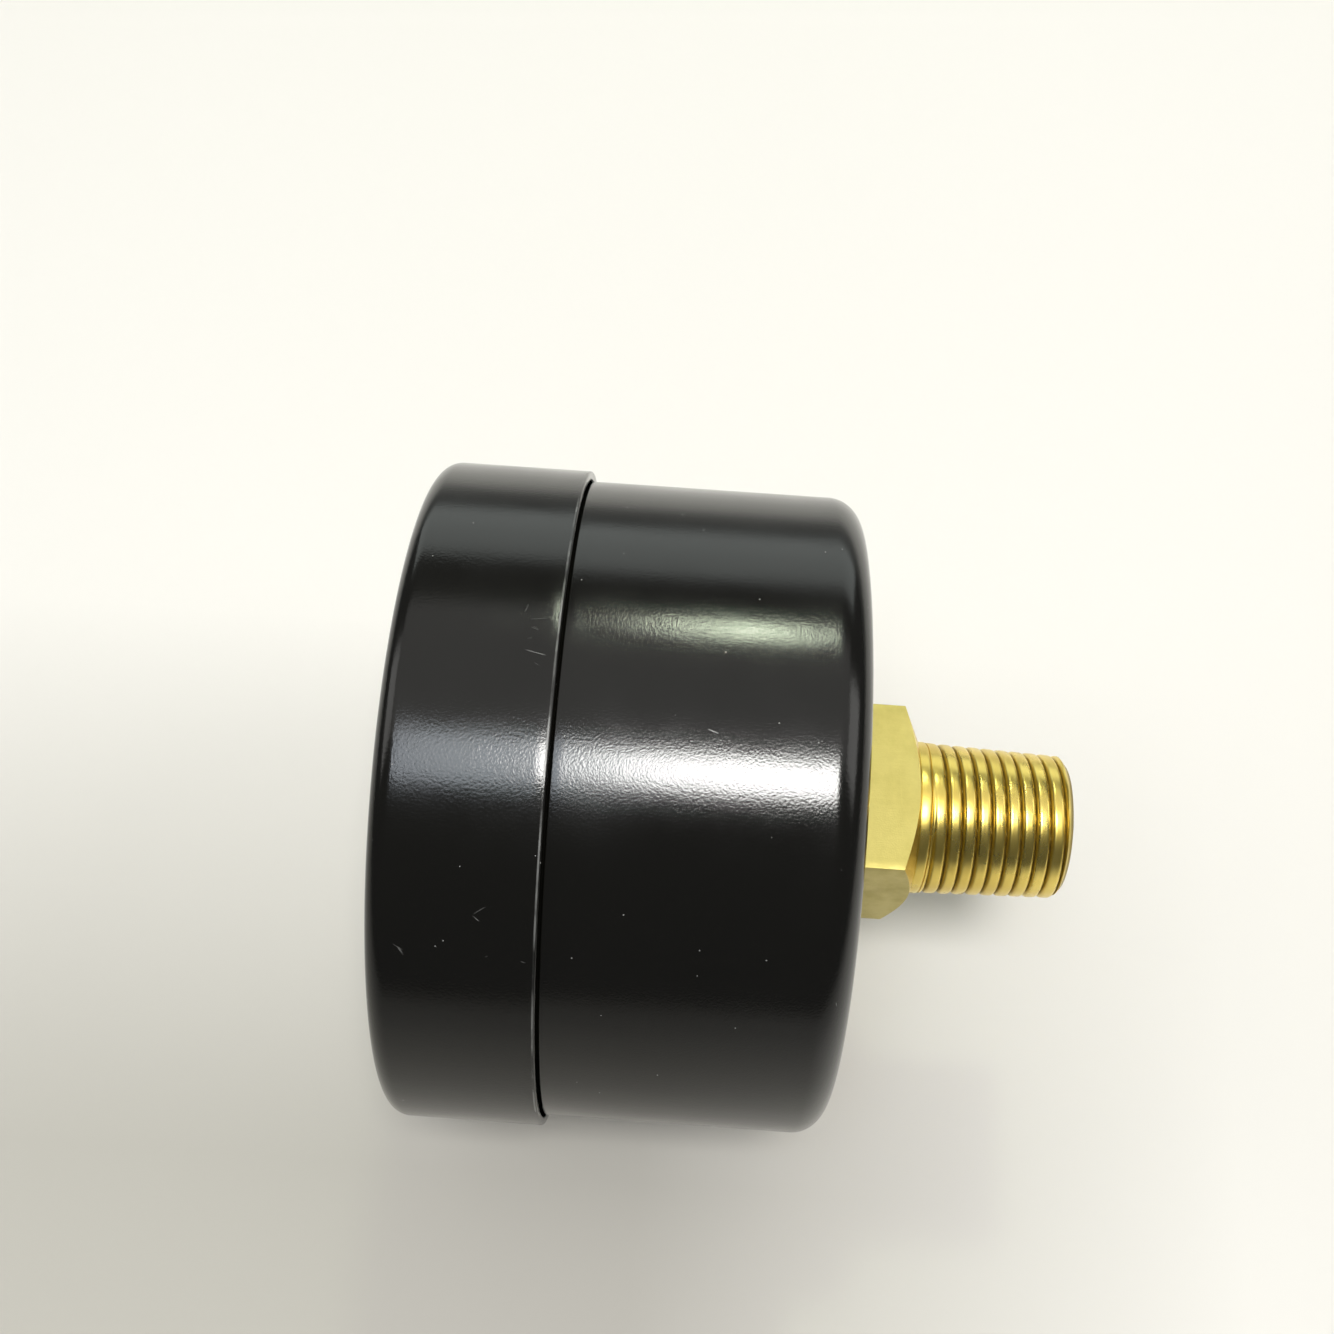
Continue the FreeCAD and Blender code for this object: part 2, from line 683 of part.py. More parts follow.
def make_sector_arbor():
    """Arbor of the sector, with a fine pivot at each end."""
    body = disc(arbor_r, front_plate_back + end_play, back_plate_front - end_play, sector_pivot)
    return body.fuse(disc(pivot_r, front_plate_front + end_play, platform_front - end_play, sector_pivot))


def make_pinion():
    """Pinion cut in one piece with the pointer's shaft."""
    pitch = 360 / pinion_teeth
    angles = [-90 + pitch * (index + 0.5) for index in range(pinion_teeth)]
    outline = toothed_outline(pinion_teeth, pinion_addendum, pinion_dedendum, angles, (0.0, 0.0))
    teeth = flat(outline, sector_front - pinion_overhang, sector_back + pinion_overhang)
    shaft = disc(shaft_r, pointer_back - pointer_sheet - shaft_stand, back_plate_front - end_play)
    pivot = disc(pivot_r, back_plate_front - past, platform_front - end_play)
    collar = disc(arbor_r, front_plate_back + end_play, sector_front - pinion_overhang)
    return teeth.fuse([shaft, pivot, collar])


def make_plate(front, shaft_hole_r):
    """Brass movement plate with its screw and pivot holes."""
    left, right, low = movement_screw_places()
    foot = (plate_margin, sector_pivot[1] - foot_drop)
    back = front + plate_thickness
    plate = rounded_plate([left, right, foot, low], plate_margin, front, back)
    holes = [disc(movement_screw_r + press_fit, front - past, back + past, place)
             for place in movement_screw_places()]
    holes += [disc(shaft_hole_r + running_fit, front - past, back + past),
              disc(pivot_r + running_fit, front - past, back + past, sector_pivot)]
    return plate.cut(holes)


def make_front_plate():
    """Front plate, with two ears for the dial's posts."""
    plate = make_plate(front_plate_front, shaft_r)
    holes = []
    for place in dial_screw_places():
        pillar = upper_pillar if place[0] > 0 else (-upper_pillar[0], upper_pillar[1])
        plate = plate.fuse(bar(place, pillar, ear_r, front_plate_front, front_plate_back))
        holes.append(disc(post_rivet_r + press_fit, 0, front_plate_back + past, place))
    holes += [disc(movement_screw_r + press_fit, 0, front_plate_back + past, place)
              for place in movement_screw_places()]
    return plate.cut(holes)


def make_back_plate():
    """Back plate, which also carries the hairspring's stud."""
    plate = make_plate(back_plate_front, pivot_r)
    return plate.cut(disc(stud_r + press_fit, 0, case_depth, stud_place()))


def make_pillars():
    """Three tubular spacers between the plates."""
    return Part.makeCompound([disc(pillar_r, front_plate_back, back_plate_front, place)
                              .cut(disc(movement_screw_r + press_fit, 0, case_depth, place))
                              for place in movement_screw_places()])


def make_movement_screws():
    """Three long screws through plates and spacers into the socket."""
    screws = []
    for place in movement_screw_places():
        head = disc(movement_screw_head_r, front_plate_front - movement_screw_head, front_plate_front, place)
        shank = disc(movement_screw_r, front_plate_front, platform_front + movement_screw_grip, place)
        slot = slotted(movement_screw_head_r, front_plate_front - movement_screw_head, place)
        screws.append(head.fuse(shank).cut(slot))
    return Part.makeCompound(screws)


def half_turn(radius, index, offset):
    """One half turn of the hairspring, its centre shifted on every second one."""
    centre_x = hairspring_pitch / 2 * (index % 2)
    size = radius + offset
    sign = 1 if index % 2 == 0 else -1
    start = at(centre_x + sign * size, 0, hairspring_front)
    middle = at(centre_x, sign * size, hairspring_front)
    end = at(centre_x - sign * size, 0, hairspring_front)
    return start, middle, end


def hairspring_radius(index):
    return collet_r + hairspring_thickness / 2 + index * hairspring_pitch / 2


def make_hairspring():
    """Flat spiral strip from the collet to the stud."""
    half = hairspring_thickness / 2
    outer = [half_turn(hairspring_radius(i), i, half) for i in range(hairspring_half_turns)]
    inner = [half_turn(hairspring_radius(i), i, -half) for i in range(hairspring_half_turns)]
    edges = [Part.Arc(*points).toShape() for points in outer]
    edges.append(Part.LineSegment(outer[-1][2], inner[-1][2]).toShape())
    edges += [Part.Arc(end, middle, start).toShape() for start, middle, end in reversed(inner)]
    edges.append(Part.LineSegment(inner[0][0], outer[0][0]).toShape())
    return Part.Face(Part.Wire(edges)).extrude(Y_AXIS * hairspring_height)


def stud_place():
    last = hairspring_half_turns - 1
    end = half_turn(hairspring_radius(last), last, hairspring_thickness / 2)[2]
    outward = math.copysign(stud_r, end.x)
    return (end.x + outward, 0.0)


def make_stud():
    """Post in the back plate that holds the hairspring's outer end."""
    return disc(stud_r, hairspring_front - collet_lip, platform_front, stud_place())


def make_collet():
    """Split ring that holds the hairspring's inner end on the shaft."""
    front, back = hairspring_front - collet_lip, hairspring_front + hairspring_height + collet_lip
    return disc(collet_r, front, back).cut(disc(shaft_r + press_fit, 0, case_depth))


# ---------------------------------------------------------------- every piece
os.makedirs("parts", exist_ok=True)
save("case", make_case())
save("case_screws", make_case_screws())
save("bezel_ring", make_bezel())
save("window", make_window())
save("window_gasket", make_gasket())
save("dial_plate", make_dial())
save("dial_screws", make_dial_screws())
save("dial_posts", make_dial_posts())
save("stop_pin", make_stop_pin())
save("pointer", make_pointer())
save("pointer_bush", make_pointer_bush())
save("socket", make_socket())
save("passage_plug", make_passage_plug())
save("inlet_restrictor", make_restrictor())
save("bourdon_tube", make_tube())
save("tip_block", make_tip_block())
save("tip_pin", linkage_pin(tip_pin_place(), sector_front - pin_shoulder))
save("link", make_link())
save("sector_pin", linkage_pin(tail_pin_place(), sector_front))
save("sector_gear", make_sector())
save("sector_arbor", make_sector_arbor())
save("pinion_shaft", make_pinion())
save("movement_front_plate", make_front_plate())
save("movement_back_plate", make_back_plate())
save("movement_pillars", make_pillars())
save("movement_screws", make_movement_screws())
save("hairspring", make_hairspring())
save("hairspring_collet", make_collet())
save("hairspring_stud", make_stud())
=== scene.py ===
import bmesh
import bpy
import math
from mathutils import Matrix, Vector


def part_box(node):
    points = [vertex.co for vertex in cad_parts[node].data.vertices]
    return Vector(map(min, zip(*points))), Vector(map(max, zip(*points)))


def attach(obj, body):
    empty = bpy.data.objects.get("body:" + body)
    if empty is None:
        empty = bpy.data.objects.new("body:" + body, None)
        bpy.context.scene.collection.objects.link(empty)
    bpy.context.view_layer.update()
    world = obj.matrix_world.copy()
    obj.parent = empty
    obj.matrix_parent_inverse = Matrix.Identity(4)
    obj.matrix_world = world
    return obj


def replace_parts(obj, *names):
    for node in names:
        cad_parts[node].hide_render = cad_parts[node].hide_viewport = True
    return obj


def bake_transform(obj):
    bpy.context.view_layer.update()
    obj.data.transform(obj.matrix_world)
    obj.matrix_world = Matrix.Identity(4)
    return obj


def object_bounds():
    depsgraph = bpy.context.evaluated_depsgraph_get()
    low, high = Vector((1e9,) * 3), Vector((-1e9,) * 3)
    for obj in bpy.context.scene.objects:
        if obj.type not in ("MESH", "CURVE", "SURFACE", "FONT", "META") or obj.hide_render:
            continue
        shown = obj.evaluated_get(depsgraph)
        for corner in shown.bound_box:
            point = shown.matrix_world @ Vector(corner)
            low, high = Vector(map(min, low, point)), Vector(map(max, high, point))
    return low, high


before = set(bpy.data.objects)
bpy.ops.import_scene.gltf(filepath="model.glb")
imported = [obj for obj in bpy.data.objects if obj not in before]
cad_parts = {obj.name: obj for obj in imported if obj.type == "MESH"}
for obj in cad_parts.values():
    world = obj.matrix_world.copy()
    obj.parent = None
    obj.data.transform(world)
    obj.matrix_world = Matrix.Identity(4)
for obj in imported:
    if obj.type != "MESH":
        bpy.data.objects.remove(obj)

cad_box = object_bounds()
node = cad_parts
mm = 0.001
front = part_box("bezel_ring")[0].y    # the foremost face, in metres; depths are in mm behind it


# ---------------------------------------------------------------- socket and stem
# One piece of free-machining brass. The square is left as the drawn bar came; the end of
# the square, the neck, the blunt taper thread and the bore are turned, so fine rings run
# round them. The flange inside the case carries everything else.
stem_half, stem_trim = 5.55, 0.05                       # half the square, and the trim off its corners
stem_start, square_end, stem_end = 26.7, 31.76, 41.7    # depths; the start is within the case's back
square_end_slope = math.tan(math.radians(24))
neck_r, neck_end, neck_round = 5.0, 32.63, 0.22
thread_pitch, thread_depth, thread_taper, crest_r = 0.9407, 0.36, 1 / 32, 4.8
thread_zero = -front / mm                               # depth of the gauge plane, which is the origin
ridge_fullness, rows_per_pitch, fade_turns = 5.0, 24, 0.35
tip_chamfer, tip_slope = 0.45, 1.2
inlet_r, inlet_chamfer = 2.0, 0.4
flat_reach = stem_half - 0.2                            # only the square's flats lie past this


def group(name, inputs, outputs):
    """An empty shared effect, with its inputs as (kind, name, default) and its outputs."""
    tree = bpy.data.node_groups.new(name, "ShaderNodeTree")
    for kind, label, value in inputs:
        socket = tree.interface.new_socket(label, in_out="INPUT", socket_type="NodeSocket" + kind)
        if value is not None:
            socket.default_value = value
    for label in outputs:
        tree.interface.new_socket(label, in_out="OUTPUT", socket_type="NodeSocketFloat")
    return tree, tree.nodes.new("NodeGroupInput").outputs, tree.nodes.new("NodeGroupOutput").inputs


def add(tree, kind, settings, *values):
    """A node of one kind, with values or links on its inputs in order. None leaves one as it is."""
    made = tree.nodes.new("ShaderNode" + kind)
    for name, value in settings.items():
        setattr(made, name, value)
    for socket, value in zip(made.inputs, values):
        if isinstance(value, bpy.types.NodeSocket):
            tree.links.new(value, socket)
        elif value is not None:
            socket.default_value = value
    return made


def sums(tree, operation, *values):
    return add(tree, "Math", {"operation": operation}, *values).outputs[0]


def remap(tree, value, low, high, to_low=0.0, to_high=1.0):
    return add(tree, "MapRange", {}, value, low, high, to_low, to_high).outputs[0]


def noise(tree, place, scale, detail=2.0, roughness=0.5):
    return add(tree, "TexNoise", {}, place, None, scale, detail, roughness).outputs[0]


def link(tree, source, target):
    tree.links.new(source, target)


def from_axis(tree, at):
    """How far a place is from the gauge's axis, from its separate x, y and z."""
    return sums(tree, "SQRT", sums(tree, "ADD", sums(tree, "MULTIPLY", at[0], at[0]),
                                   sums(tree, "MULTIPLY", at[2], at[2])))


def turning_marks():
    """Rings left by a lathe tool round the gauge's axis, and the dull bands between cuts."""
    tree, given, result = group("turning_marks",
                                [("Vector", "Position", None), ("Float", "Rings per mm", 8.0)],
                                ["Height", "Bands"])
    at = add(tree, "SeparateXYZ", {}, given["Position"]).outputs
    track = add(tree, "CombineXYZ", {}, from_axis(tree, at), at[1]).outputs[0]
    per_metre = sums(tree, "MULTIPLY", given["Rings per mm"], 1 / mm)
    link(tree, noise(tree, track, per_metre, 3.0), result["Height"])
    link(tree, noise(tree, track, sums(tree, "MULTIPLY", per_metre, 0.12)), result["Bands"])
    return tree


def handling_marks():
    """Patches of tarnish, and short fine scratches that cross each other at random."""
    tree, given, result = group("handling_marks",
                                [("Vector", "Position", None), ("Float", "Patch size mm", 3.0),
                                 ("Float", "Scratches", 0.5)],
                                ["Tarnish", "Scratches"])
    link(tree, noise(tree, given["Position"], sums(tree, "DIVIDE", 1 / mm, given["Patch size mm"]), 4.0, 0.6),
         result["Tarnish"])
    most = 0.0
    for turn, slant in ((0.4, (1.0, 0.06, 0.6)), (1.9, (0.5, 1.0, 0.05)), (2.7, (0.06, 0.5, 1.0))):
        turned_place = add(tree, "VectorRotate", {"rotation_type": "EULER_XYZ"}, given["Position"]).outputs[0]
        turned_place.node.inputs["Rotation"].default_value = (turn, turn * 0.7, turn * 1.3)
        drawn_out = add(tree, "VectorMath", {"operation": "MULTIPLY"}, turned_place, slant).outputs[0]
        cells = add(tree, "TexVoronoi", {"feature": "DISTANCE_TO_EDGE"}, drawn_out, None, 0.8 / mm).outputs[0]
        line = remap(tree, cells, 0.0, 0.012, 1.0, 0.0)
        here = remap(tree, noise(tree, turned_place, 0.55 / mm, 1.0), 0.60, 0.64)
        most = sums(tree, "MAXIMUM", most, sums(tree, "MULTIPLY", line, here))
    link(tree, sums(tree, "MULTIPLY", most, given["Scratches"]), result["Scratches"])
    return tree


turning = turning_marks()
handling = handling_marks()


def finish(name, colour, **plain):
    """A new material: its tree, its shader, and the place on the piece that patterns use."""
    material = bpy.data.materials.new(name)
    material.use_nodes = True
    tree = material.node_tree
    shader = tree.nodes["Principled BSDF"].inputs
    shader["Base Color"].default_value = (*colour, 1.0)
    for key, value in plain.items():
        shader[key.replace("_", " ")].default_value = value
    return material, tree, shader, add(tree, "TexCoord", {}).outputs["Object"]


def shared(tree, effect, place, **given):
    """One of the shared effects, placed in a material with its own values."""
    made = tree.nodes.new("ShaderNodeGroup")
    made.node_tree = effect
    link(tree, place, made.inputs["Position"])
    for name, value in given.items():
        made.inputs[name.replace("_", " ")].default_value = value
    return made.outputs


def mix(tree, share, a, b):
    """Colour a, turning to colour b as the share goes from 0 to 1."""
    made = add(tree, "Mix", {"data_type": "RGBA"})
    for socket, value in zip((made.inputs[0], made.inputs[6], made.inputs[7]), (share, a, b)):
        if isinstance(value, bpy.types.NodeSocket):
            link(tree, value, socket)
        else:
            socket.default_value = (*value, 1.0) if isinstance(value, tuple) else value
    return made.outputs[2]


def bump(tree, shader, height, depth_mm):
    made = add(tree, "Bump", {})
    made.inputs["Distance"].default_value = depth_mm * mm
    link(tree, height, made.inputs["Height"])
    link(tree, made.outputs[0], shader["Normal"])


def turned_metal(name, clean, dull, shine, ring_depth, rings=8.0, patch=3.0, scratches=0.4):
    """Metal from a lathe: rings, patches of tarnish and fine scratches.
    shine is the lowest and highest roughness."""
    material, tree, shader, place = finish(name, clean, Metallic=1.0)
    ring = shared(tree, turning, place, Rings_per_mm=rings)
    mark = shared(tree, handling, place, Patch_size_mm=patch, Scratches=scratches)
    tarnish = remap(tree, mark["Tarnish"], 0.35, 0.70)
    bare = tuple(min(1.0, part * 1.2) for part in clean)
    link(tree, mix(tree, mark["Scratches"], mix(tree, tarnish, clean, dull), bare), shader["Base Color"])
    link(tree, remap(tree, sums(tree, "ADD", ring["Bands"], tarnish), 0.3, 1.5, *shine), shader["Roughness"])
    bump(tree, shader, sums(tree, "SUBTRACT", ring["Height"], mark["Scratches"]), ring_depth)
    return material


def socket_turned_finish():
    """Bright turned brass, with painted shade in dark olive at the bottom of the thread's grooves."""
    clean, dull = (0.86, 0.67, 0.18), (0.76, 0.57, 0.13)
    # groove is the dark olive of the painted shade in the thread's grooves.
    groove, bare = (0.36, 0.28, 0.09), (1.0, 0.82, 0.34)
    shade_starts, shade_full = 0.08, 0.30         # mm below the crests, where the painted shade starts and where it is full
    thread_starts, bore_wall = -5.0, 3.5        # mm along the axis, and out from it
    material, tree, shader, place = finish("socket_turned", clean, Metallic=1.0)
    ring = shared(tree, turning, place, Rings_per_mm=8.0)
    mark = shared(tree, handling, place, Patch_size_mm=3.0, Scratches=0.04)
    tarnish = remap(tree, mark["Tarnish"], 0.35, 0.70)
    at = add(tree, "SeparateXYZ", {}, place).outputs
    radius = from_axis(tree, at)
    crest = sums(tree, "SUBTRACT", crest_r * mm, sums(tree, "MULTIPLY", at[1], thread_taper))
    # Painted shade: deeper in the grooves, the colour turns dark olive and the brass gets duller.
    low = remap(tree, sums(tree, "SUBTRACT", crest, radius), shade_starts * mm, shade_full * mm)
    in_thread = sums(tree, "GREATER_THAN", at[1], thread_starts * mm)
    outside = sums(tree, "GREATER_THAN", radius, bore_wall * mm)
    groove_shade = sums(tree, "MULTIPLY", sums(tree, "MULTIPLY", low, in_thread), outside)
    brass = mix(tree, mark["Scratches"], mix(tree, tarnish, clean, dull), bare)
    link(tree, mix(tree, groove_shade, brass, groove), shader["Base Color"])
    shine = remap(tree, sums(tree, "ADD", ring["Bands"], tarnish), 0.3, 1.5, 0.24, 0.35)
    link(tree, sums(tree, "ADD", shine, sums(tree, "MULTIPLY", groove_shade, 0.2)), shader["Roughness"])
    bump(tree, shader, sums(tree, "SUBTRACT", ring["Height"], mark["Scratches"]), 0.004)
    return material


def drawn_bar(name, clean, dull, shine):
    """Drawn bar: faint draw lines along its length, a mottled dull skin and some handling marks."""
    material, tree, shader, place = finish(name, clean, Metallic=1.0)
    stretched = add(tree, "VectorMath", {"operation": "MULTIPLY"}, place, (1.0, 0.05, 1.0)).outputs[0]
    lines = noise(tree, stretched, 6.0 / mm, 3.0, 0.6)
    grain = noise(tree, place, 9.0 / mm, 2.0)
    mark = shared(tree, handling, place, Patch_size_mm=2.2, Scratches=0.12)
    tarnish = remap(tree, mark["Tarnish"], 0.38, 0.66)
    bare = tuple(min(1.0, part * 1.15) for part in clean)
    link(tree, mix(tree, mark["Scratches"], mix(tree, tarnish, clean, dull), bare), shader["Base Color"])
    link(tree, remap(tree, sums(tree, "ADD", grain, tarnish), 0.3, 1.5, *shine), shader["Roughness"])
    rough_skin = sums(tree, "ADD", sums(tree, "MULTIPLY", lines, 0.5), sums(tree, "MULTIPLY", grain, 0.6))
    bump(tree, shader, sums(tree, "SUBTRACT", rough_skin, mark["Scratches"]), 0.012)
    return material


socket_drawn = drawn_bar("socket_drawn", (0.58, 0.495, 0.165), (0.49, 0.415, 0.13), (0.36, 0.50))
socket_turned = socket_turned_finish()


def piece_of(name, mesh, body, slot, *materials):
    """The finished piece: smooth where it is round, sharp at its corners, and riding on its body."""
    piece = bpy.data.objects.new(name, mesh)
    bpy.context.scene.collection.objects.link(piece)
    for material in materials:
        mesh.materials.append(material)
    mesh.polygons.foreach_set("use_smooth", [True] * len(mesh.polygons))
    mesh.set_sharp_from_angle(angle=math.radians(32))
    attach(piece, body)
    return piece


def turned(name, outline_at, sides=256, centre=(0.0, 0.0)):
    """A mesh turned round the gauge's axis, or one beside it, from a closed outline of (radius, depth).
    The outline may be a function of the angle, where a piece isn't quite round."""
    if not callable(outline_at):
        fixed = outline_at
        outline_at = lambda angle: fixed
    mesh = bpy.data.meshes.new(name)
    points, columns = [], [outline_at(math.tau * side / sides) for side in range(sides)]
    rings = len(columns[0])
    for ring in range(rings):
        for side, column in enumerate(columns):
            turn = math.tau * side / sides
            radius, depth = column[ring]
            points.append(((centre[0] + radius * math.cos(turn)) * mm, front + depth * mm,
                           (centre[1] + radius * math.sin(turn)) * mm))
    faces = [(ring * sides + side, ring * sides + (side + 1) % sides,
              (ring + 1) % rings * sides + (side + 1) % sides, (ring + 1) % rings * sides + side)
             for ring in range(rings) for side in range(sides)]
    mesh.from_pydata(points, [], faces)
    return mesh


def closed_up(mesh):
    """Points that met on the axis become one, and every face looks outwards."""
    work = bmesh.new()
    work.from_mesh(mesh)
    bmesh.ops.remove_doubles(work, verts=work.verts, dist=1e-7)
    bmesh.ops.dissolve_degenerate(work, edges=work.edges, dist=1e-8)
    bmesh.ops.recalc_face_normals(work, faces=work.faces)
    work.to_mesh(mesh)
    work.free()
    return mesh


def arc(radius, depth, size, start, end, steps=6):
    """Points round a corner of an outline, between two angles, about a centre at (radius, depth)."""
    return [(radius + size * math.cos(math.radians(start + (end - start) * step / steps)),
             depth + size * math.sin(math.radians(start + (end - start) * step / steps)))
            for step in range(steps + 1)]


def inlet_bore(inner_end, outer_end, radius, chamfer, steps=4):
    """The last stretch of the stem's outline: in over the chamfer, and back up the bore."""
    return [(radius + chamfer, outer_end), (radius, outer_end - chamfer)] + [
        (radius, outer_end - chamfer + (inner_end - outer_end + chamfer) * (step + 1) / steps)
        for step in range(steps)]


def thread_r(angle, depth):
    """Radius of the right-hand taper thread, whose groove fades in from the neck."""
    crest = crest_r + (thread_zero - depth) * thread_taper
    turns = (depth - thread_zero) / thread_pitch + angle / math.tau
    groove = abs(2 * (turns % 1.0) - 1) ** ridge_fullness
    fade = min(1.0, max(0.0, (depth - neck_end) / (fade_turns * thread_pitch)))
    cut = thread_depth * groove * fade * fade * (3 - 2 * fade)
    tip_r = crest_r + (thread_zero - stem_end) * thread_taper - tip_chamfer
    return min(crest - cut, tip_r + (stem_end - depth) * tip_slope)


def stem_outline(angle, square_rows=10, cone_rows=5):
    """The stem's outline at one angle: the square, its coned end, the neck, the thread and the bore."""
    side = max(abs(math.cos(angle)), abs(math.sin(angle)))
    corner = abs(math.cos(angle)) + abs(math.sin(angle))
    flat_r = min(stem_half / side, (2 * stem_half - stem_trim) / corner)
    cone_start = square_end - (flat_r - stem_half) * square_end_slope
    outline = [(flat_r, stem_start + (cone_start - stem_start) * row / square_rows)
               for row in range(square_rows + 1)]
    outline += [(flat_r + (stem_half - flat_r) * row / cone_rows,
                 cone_start + (square_end - cone_start) * row / cone_rows)
                for row in range(1, cone_rows + 1)]
    outline += [(neck_r, square_end)]
    outline += arc(neck_r - neck_round, square_end + neck_round, neck_round, -90, 0, 4)[1:]
    outline += arc(neck_r - neck_round, neck_end - neck_round, neck_round, 0, 60, 4)
    rows = int((stem_end - neck_end) / thread_pitch * rows_per_pitch)
    outline += [(thread_r(angle, neck_end + (stem_end - neck_end) * row / rows),
                 neck_end + (stem_end - neck_end) * row / rows) for row in range(rows + 1)]
    return outline + inlet_bore(stem_start, stem_end, inlet_r, inlet_chamfer)


stem_mesh = closed_up(turned("stem", stem_outline))
stem = piece_of("stem", stem_mesh, "gauge", "socket_brass", socket_turned, socket_drawn)
for face in stem_mesh.polygons:         # the flats keep the bar's drawn skin
    middle = face.center
    on_flat = max(abs(middle.x), abs(middle.z)) > flat_reach * mm
    if on_flat and abs(face.normal.y) < 0.1:
        face.material_index = 1

# The rest of the socket is the frame's own piece, cut off where the stem starts.
body_mesh = node["socket"].data.copy()
work = bmesh.new()
work.from_mesh(body_mesh)
bmesh.ops.remove_doubles(work, verts=work.verts, dist=1e-6)
cut_plane = bmesh.ops.bisect_plane(work, geom=work.verts[:] + work.edges[:] + work.faces[:],
                                   plane_co=(0, front + stem_start * mm, 0), plane_no=(0, 1, 0),
                                   clear_outer=True)
bmesh.ops.holes_fill(work, edges=[part for part in cut_plane["geom_cut"]
                                  if isinstance(part, bmesh.types.BMEdge)])
work.to_mesh(body_mesh)
work.free()
body_mesh.materials.clear()
socket_body = piece_of("socket_body", body_mesh, "gauge", "socket_brass", socket_turned)
body_mesh.set_sharp_from_angle(angle=math.radians(15))      # its shallow corners are real ones
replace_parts(stem, "socket")
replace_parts(socket_body, "socket")


# ---------------------------------------------------------------- restrictor and passage plug
# A slotted brass plug with a fine hole, screwed to the bottom of the inlet, and the brass pin
# pressed into the mouth of the cross drilling. Both are plain turned pieces.
def paint_with(piece, material):
    """Gives a piece that the frame brought its finish."""
    piece.data.materials.clear()
    piece.data.materials.append(material)


small_brass = turned_metal("small_brass", (0.88, 0.70, 0.28), (0.74, 0.56, 0.20), (0.18, 0.34),
                           ring_depth=0.004, rings=14.0, patch=1.2, scratches=0.3)
for name in ("inlet_restrictor", "passage_plug"):
    paint_with(node[name], small_brass)


# ---------------------------------------------------------------- bourdon tube
# A thin bronze tube, drawn flat and bent to a C. Its foot is soldered in the socket's tower,
# and its free end moves with the tip block, so the tube bends between them.
tube_r, tube_half_thick, tube_half_wide, tube_wall = 14.5, 1.0, 2.5, 0.3
tube_foot, tube_tip = math.radians(240), math.radians(-20)
tube_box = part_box("bourdon_tube")
tube_middle = ((tube_box[0].y + tube_box[1].y) / 2 - front) / mm


def tube_section(half_thick, half_wide, steps=10):
    """The flattened section, as (radius, depth), once round."""
    reach = half_wide - half_thick
    return (arc(tube_r, tube_middle + reach, half_thick, 0, 180, steps)
            + arc(tube_r, tube_middle - reach, half_thick, 180, 360, steps))


def bent_tube(stations=120):
    """Both walls of the tube along its bend, joined at its two cut ends."""
    outer = tube_section(tube_half_thick, tube_half_wide)
    inner = tube_section(tube_half_thick - tube_wall, tube_half_wide - tube_wall)
    count = len(outer)
    points, faces = [], []
    for wall in (outer, inner):
        for station in range(stations + 1):
            turn = tube_foot + (tube_tip - tube_foot) * station / stations
            points += [(radius * math.cos(turn) * mm, front + depth * mm, radius * math.sin(turn) * mm)
                       for radius, depth in wall]
    inside = (stations + 1) * count
    for station in range(stations):
        for corner in range(count):
            a, b = station * count + corner, station * count + (corner + 1) % count
            faces.append((a, b, b + count, a + count))
            faces.append((inside + a + count, inside + b + count, inside + b, inside + a))
    for end in (0, stations * count):
        for corner in range(count):
            a, b = end + corner, end + (corner + 1) % count
            faces.append((a, b, inside + b, inside + a))
    mesh = bpy.data.meshes.new("bourdon_tube")
    mesh.from_pydata(points, [], faces)
    return closed_up(mesh)


def tube_bronze_finish():
    """Drawn bronze, brown from the soldering heat near its ends."""
    material, tree, shader, place = finish("tube_bronze", (0.76, 0.50, 0.27), Metallic=1.0)
    mark = shared(tree, handling, place, Patch_size_mm=5.0, Scratches=0.3)
    low = remap(tree, add(tree, "SeparateXYZ", {}, place).outputs[2], -4 * mm, -12 * mm)
    heat = sums(tree, "MULTIPLY", low, remap(tree, mark["Tarnish"], 0.2, 0.6, 0.5, 1.0))
    tarnish = mix(tree, remap(tree, mark["Tarnish"], 0.4, 0.7), (0.78, 0.53, 0.30), (0.60, 0.38, 0.20))
    link(tree, mix(tree, heat, tarnish, (0.34, 0.20, 0.13)), shader["Base Color"])
    link(tree, remap(tree, mark["Tarnish"], 0.3, 0.7, 0.22, 0.38), shader["Roughness"])
    bump(tree, shader, noise(tree, place, 5.0 / mm, 3.0), 0.004)
    return material


tube_mesh = bent_tube()
tube_mesh.materials.append(tube_bronze_finish())
tube_mesh.polygons.foreach_set("use_smooth", [True] * len(tube_mesh.polygons))
tube_mesh.set_sharp_from_angle(angle=math.radians(40))
tube = bpy.data.objects.new("bourdon_tube_bent", tube_mesh)
bpy.context.scene.collection.objects.link(tube)
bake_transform(tube)
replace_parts(tube, "bourdon_tube")


# ---------------------------------------------------------------- tip block, link, sector and plates
# The tip block is a small brass stamping soldered over the tube's end. The link, the toothed
# sector and the two plates are cut from rolled brass sheet, so their grain runs one way.
paint_with(node["tip_block"], small_brass)


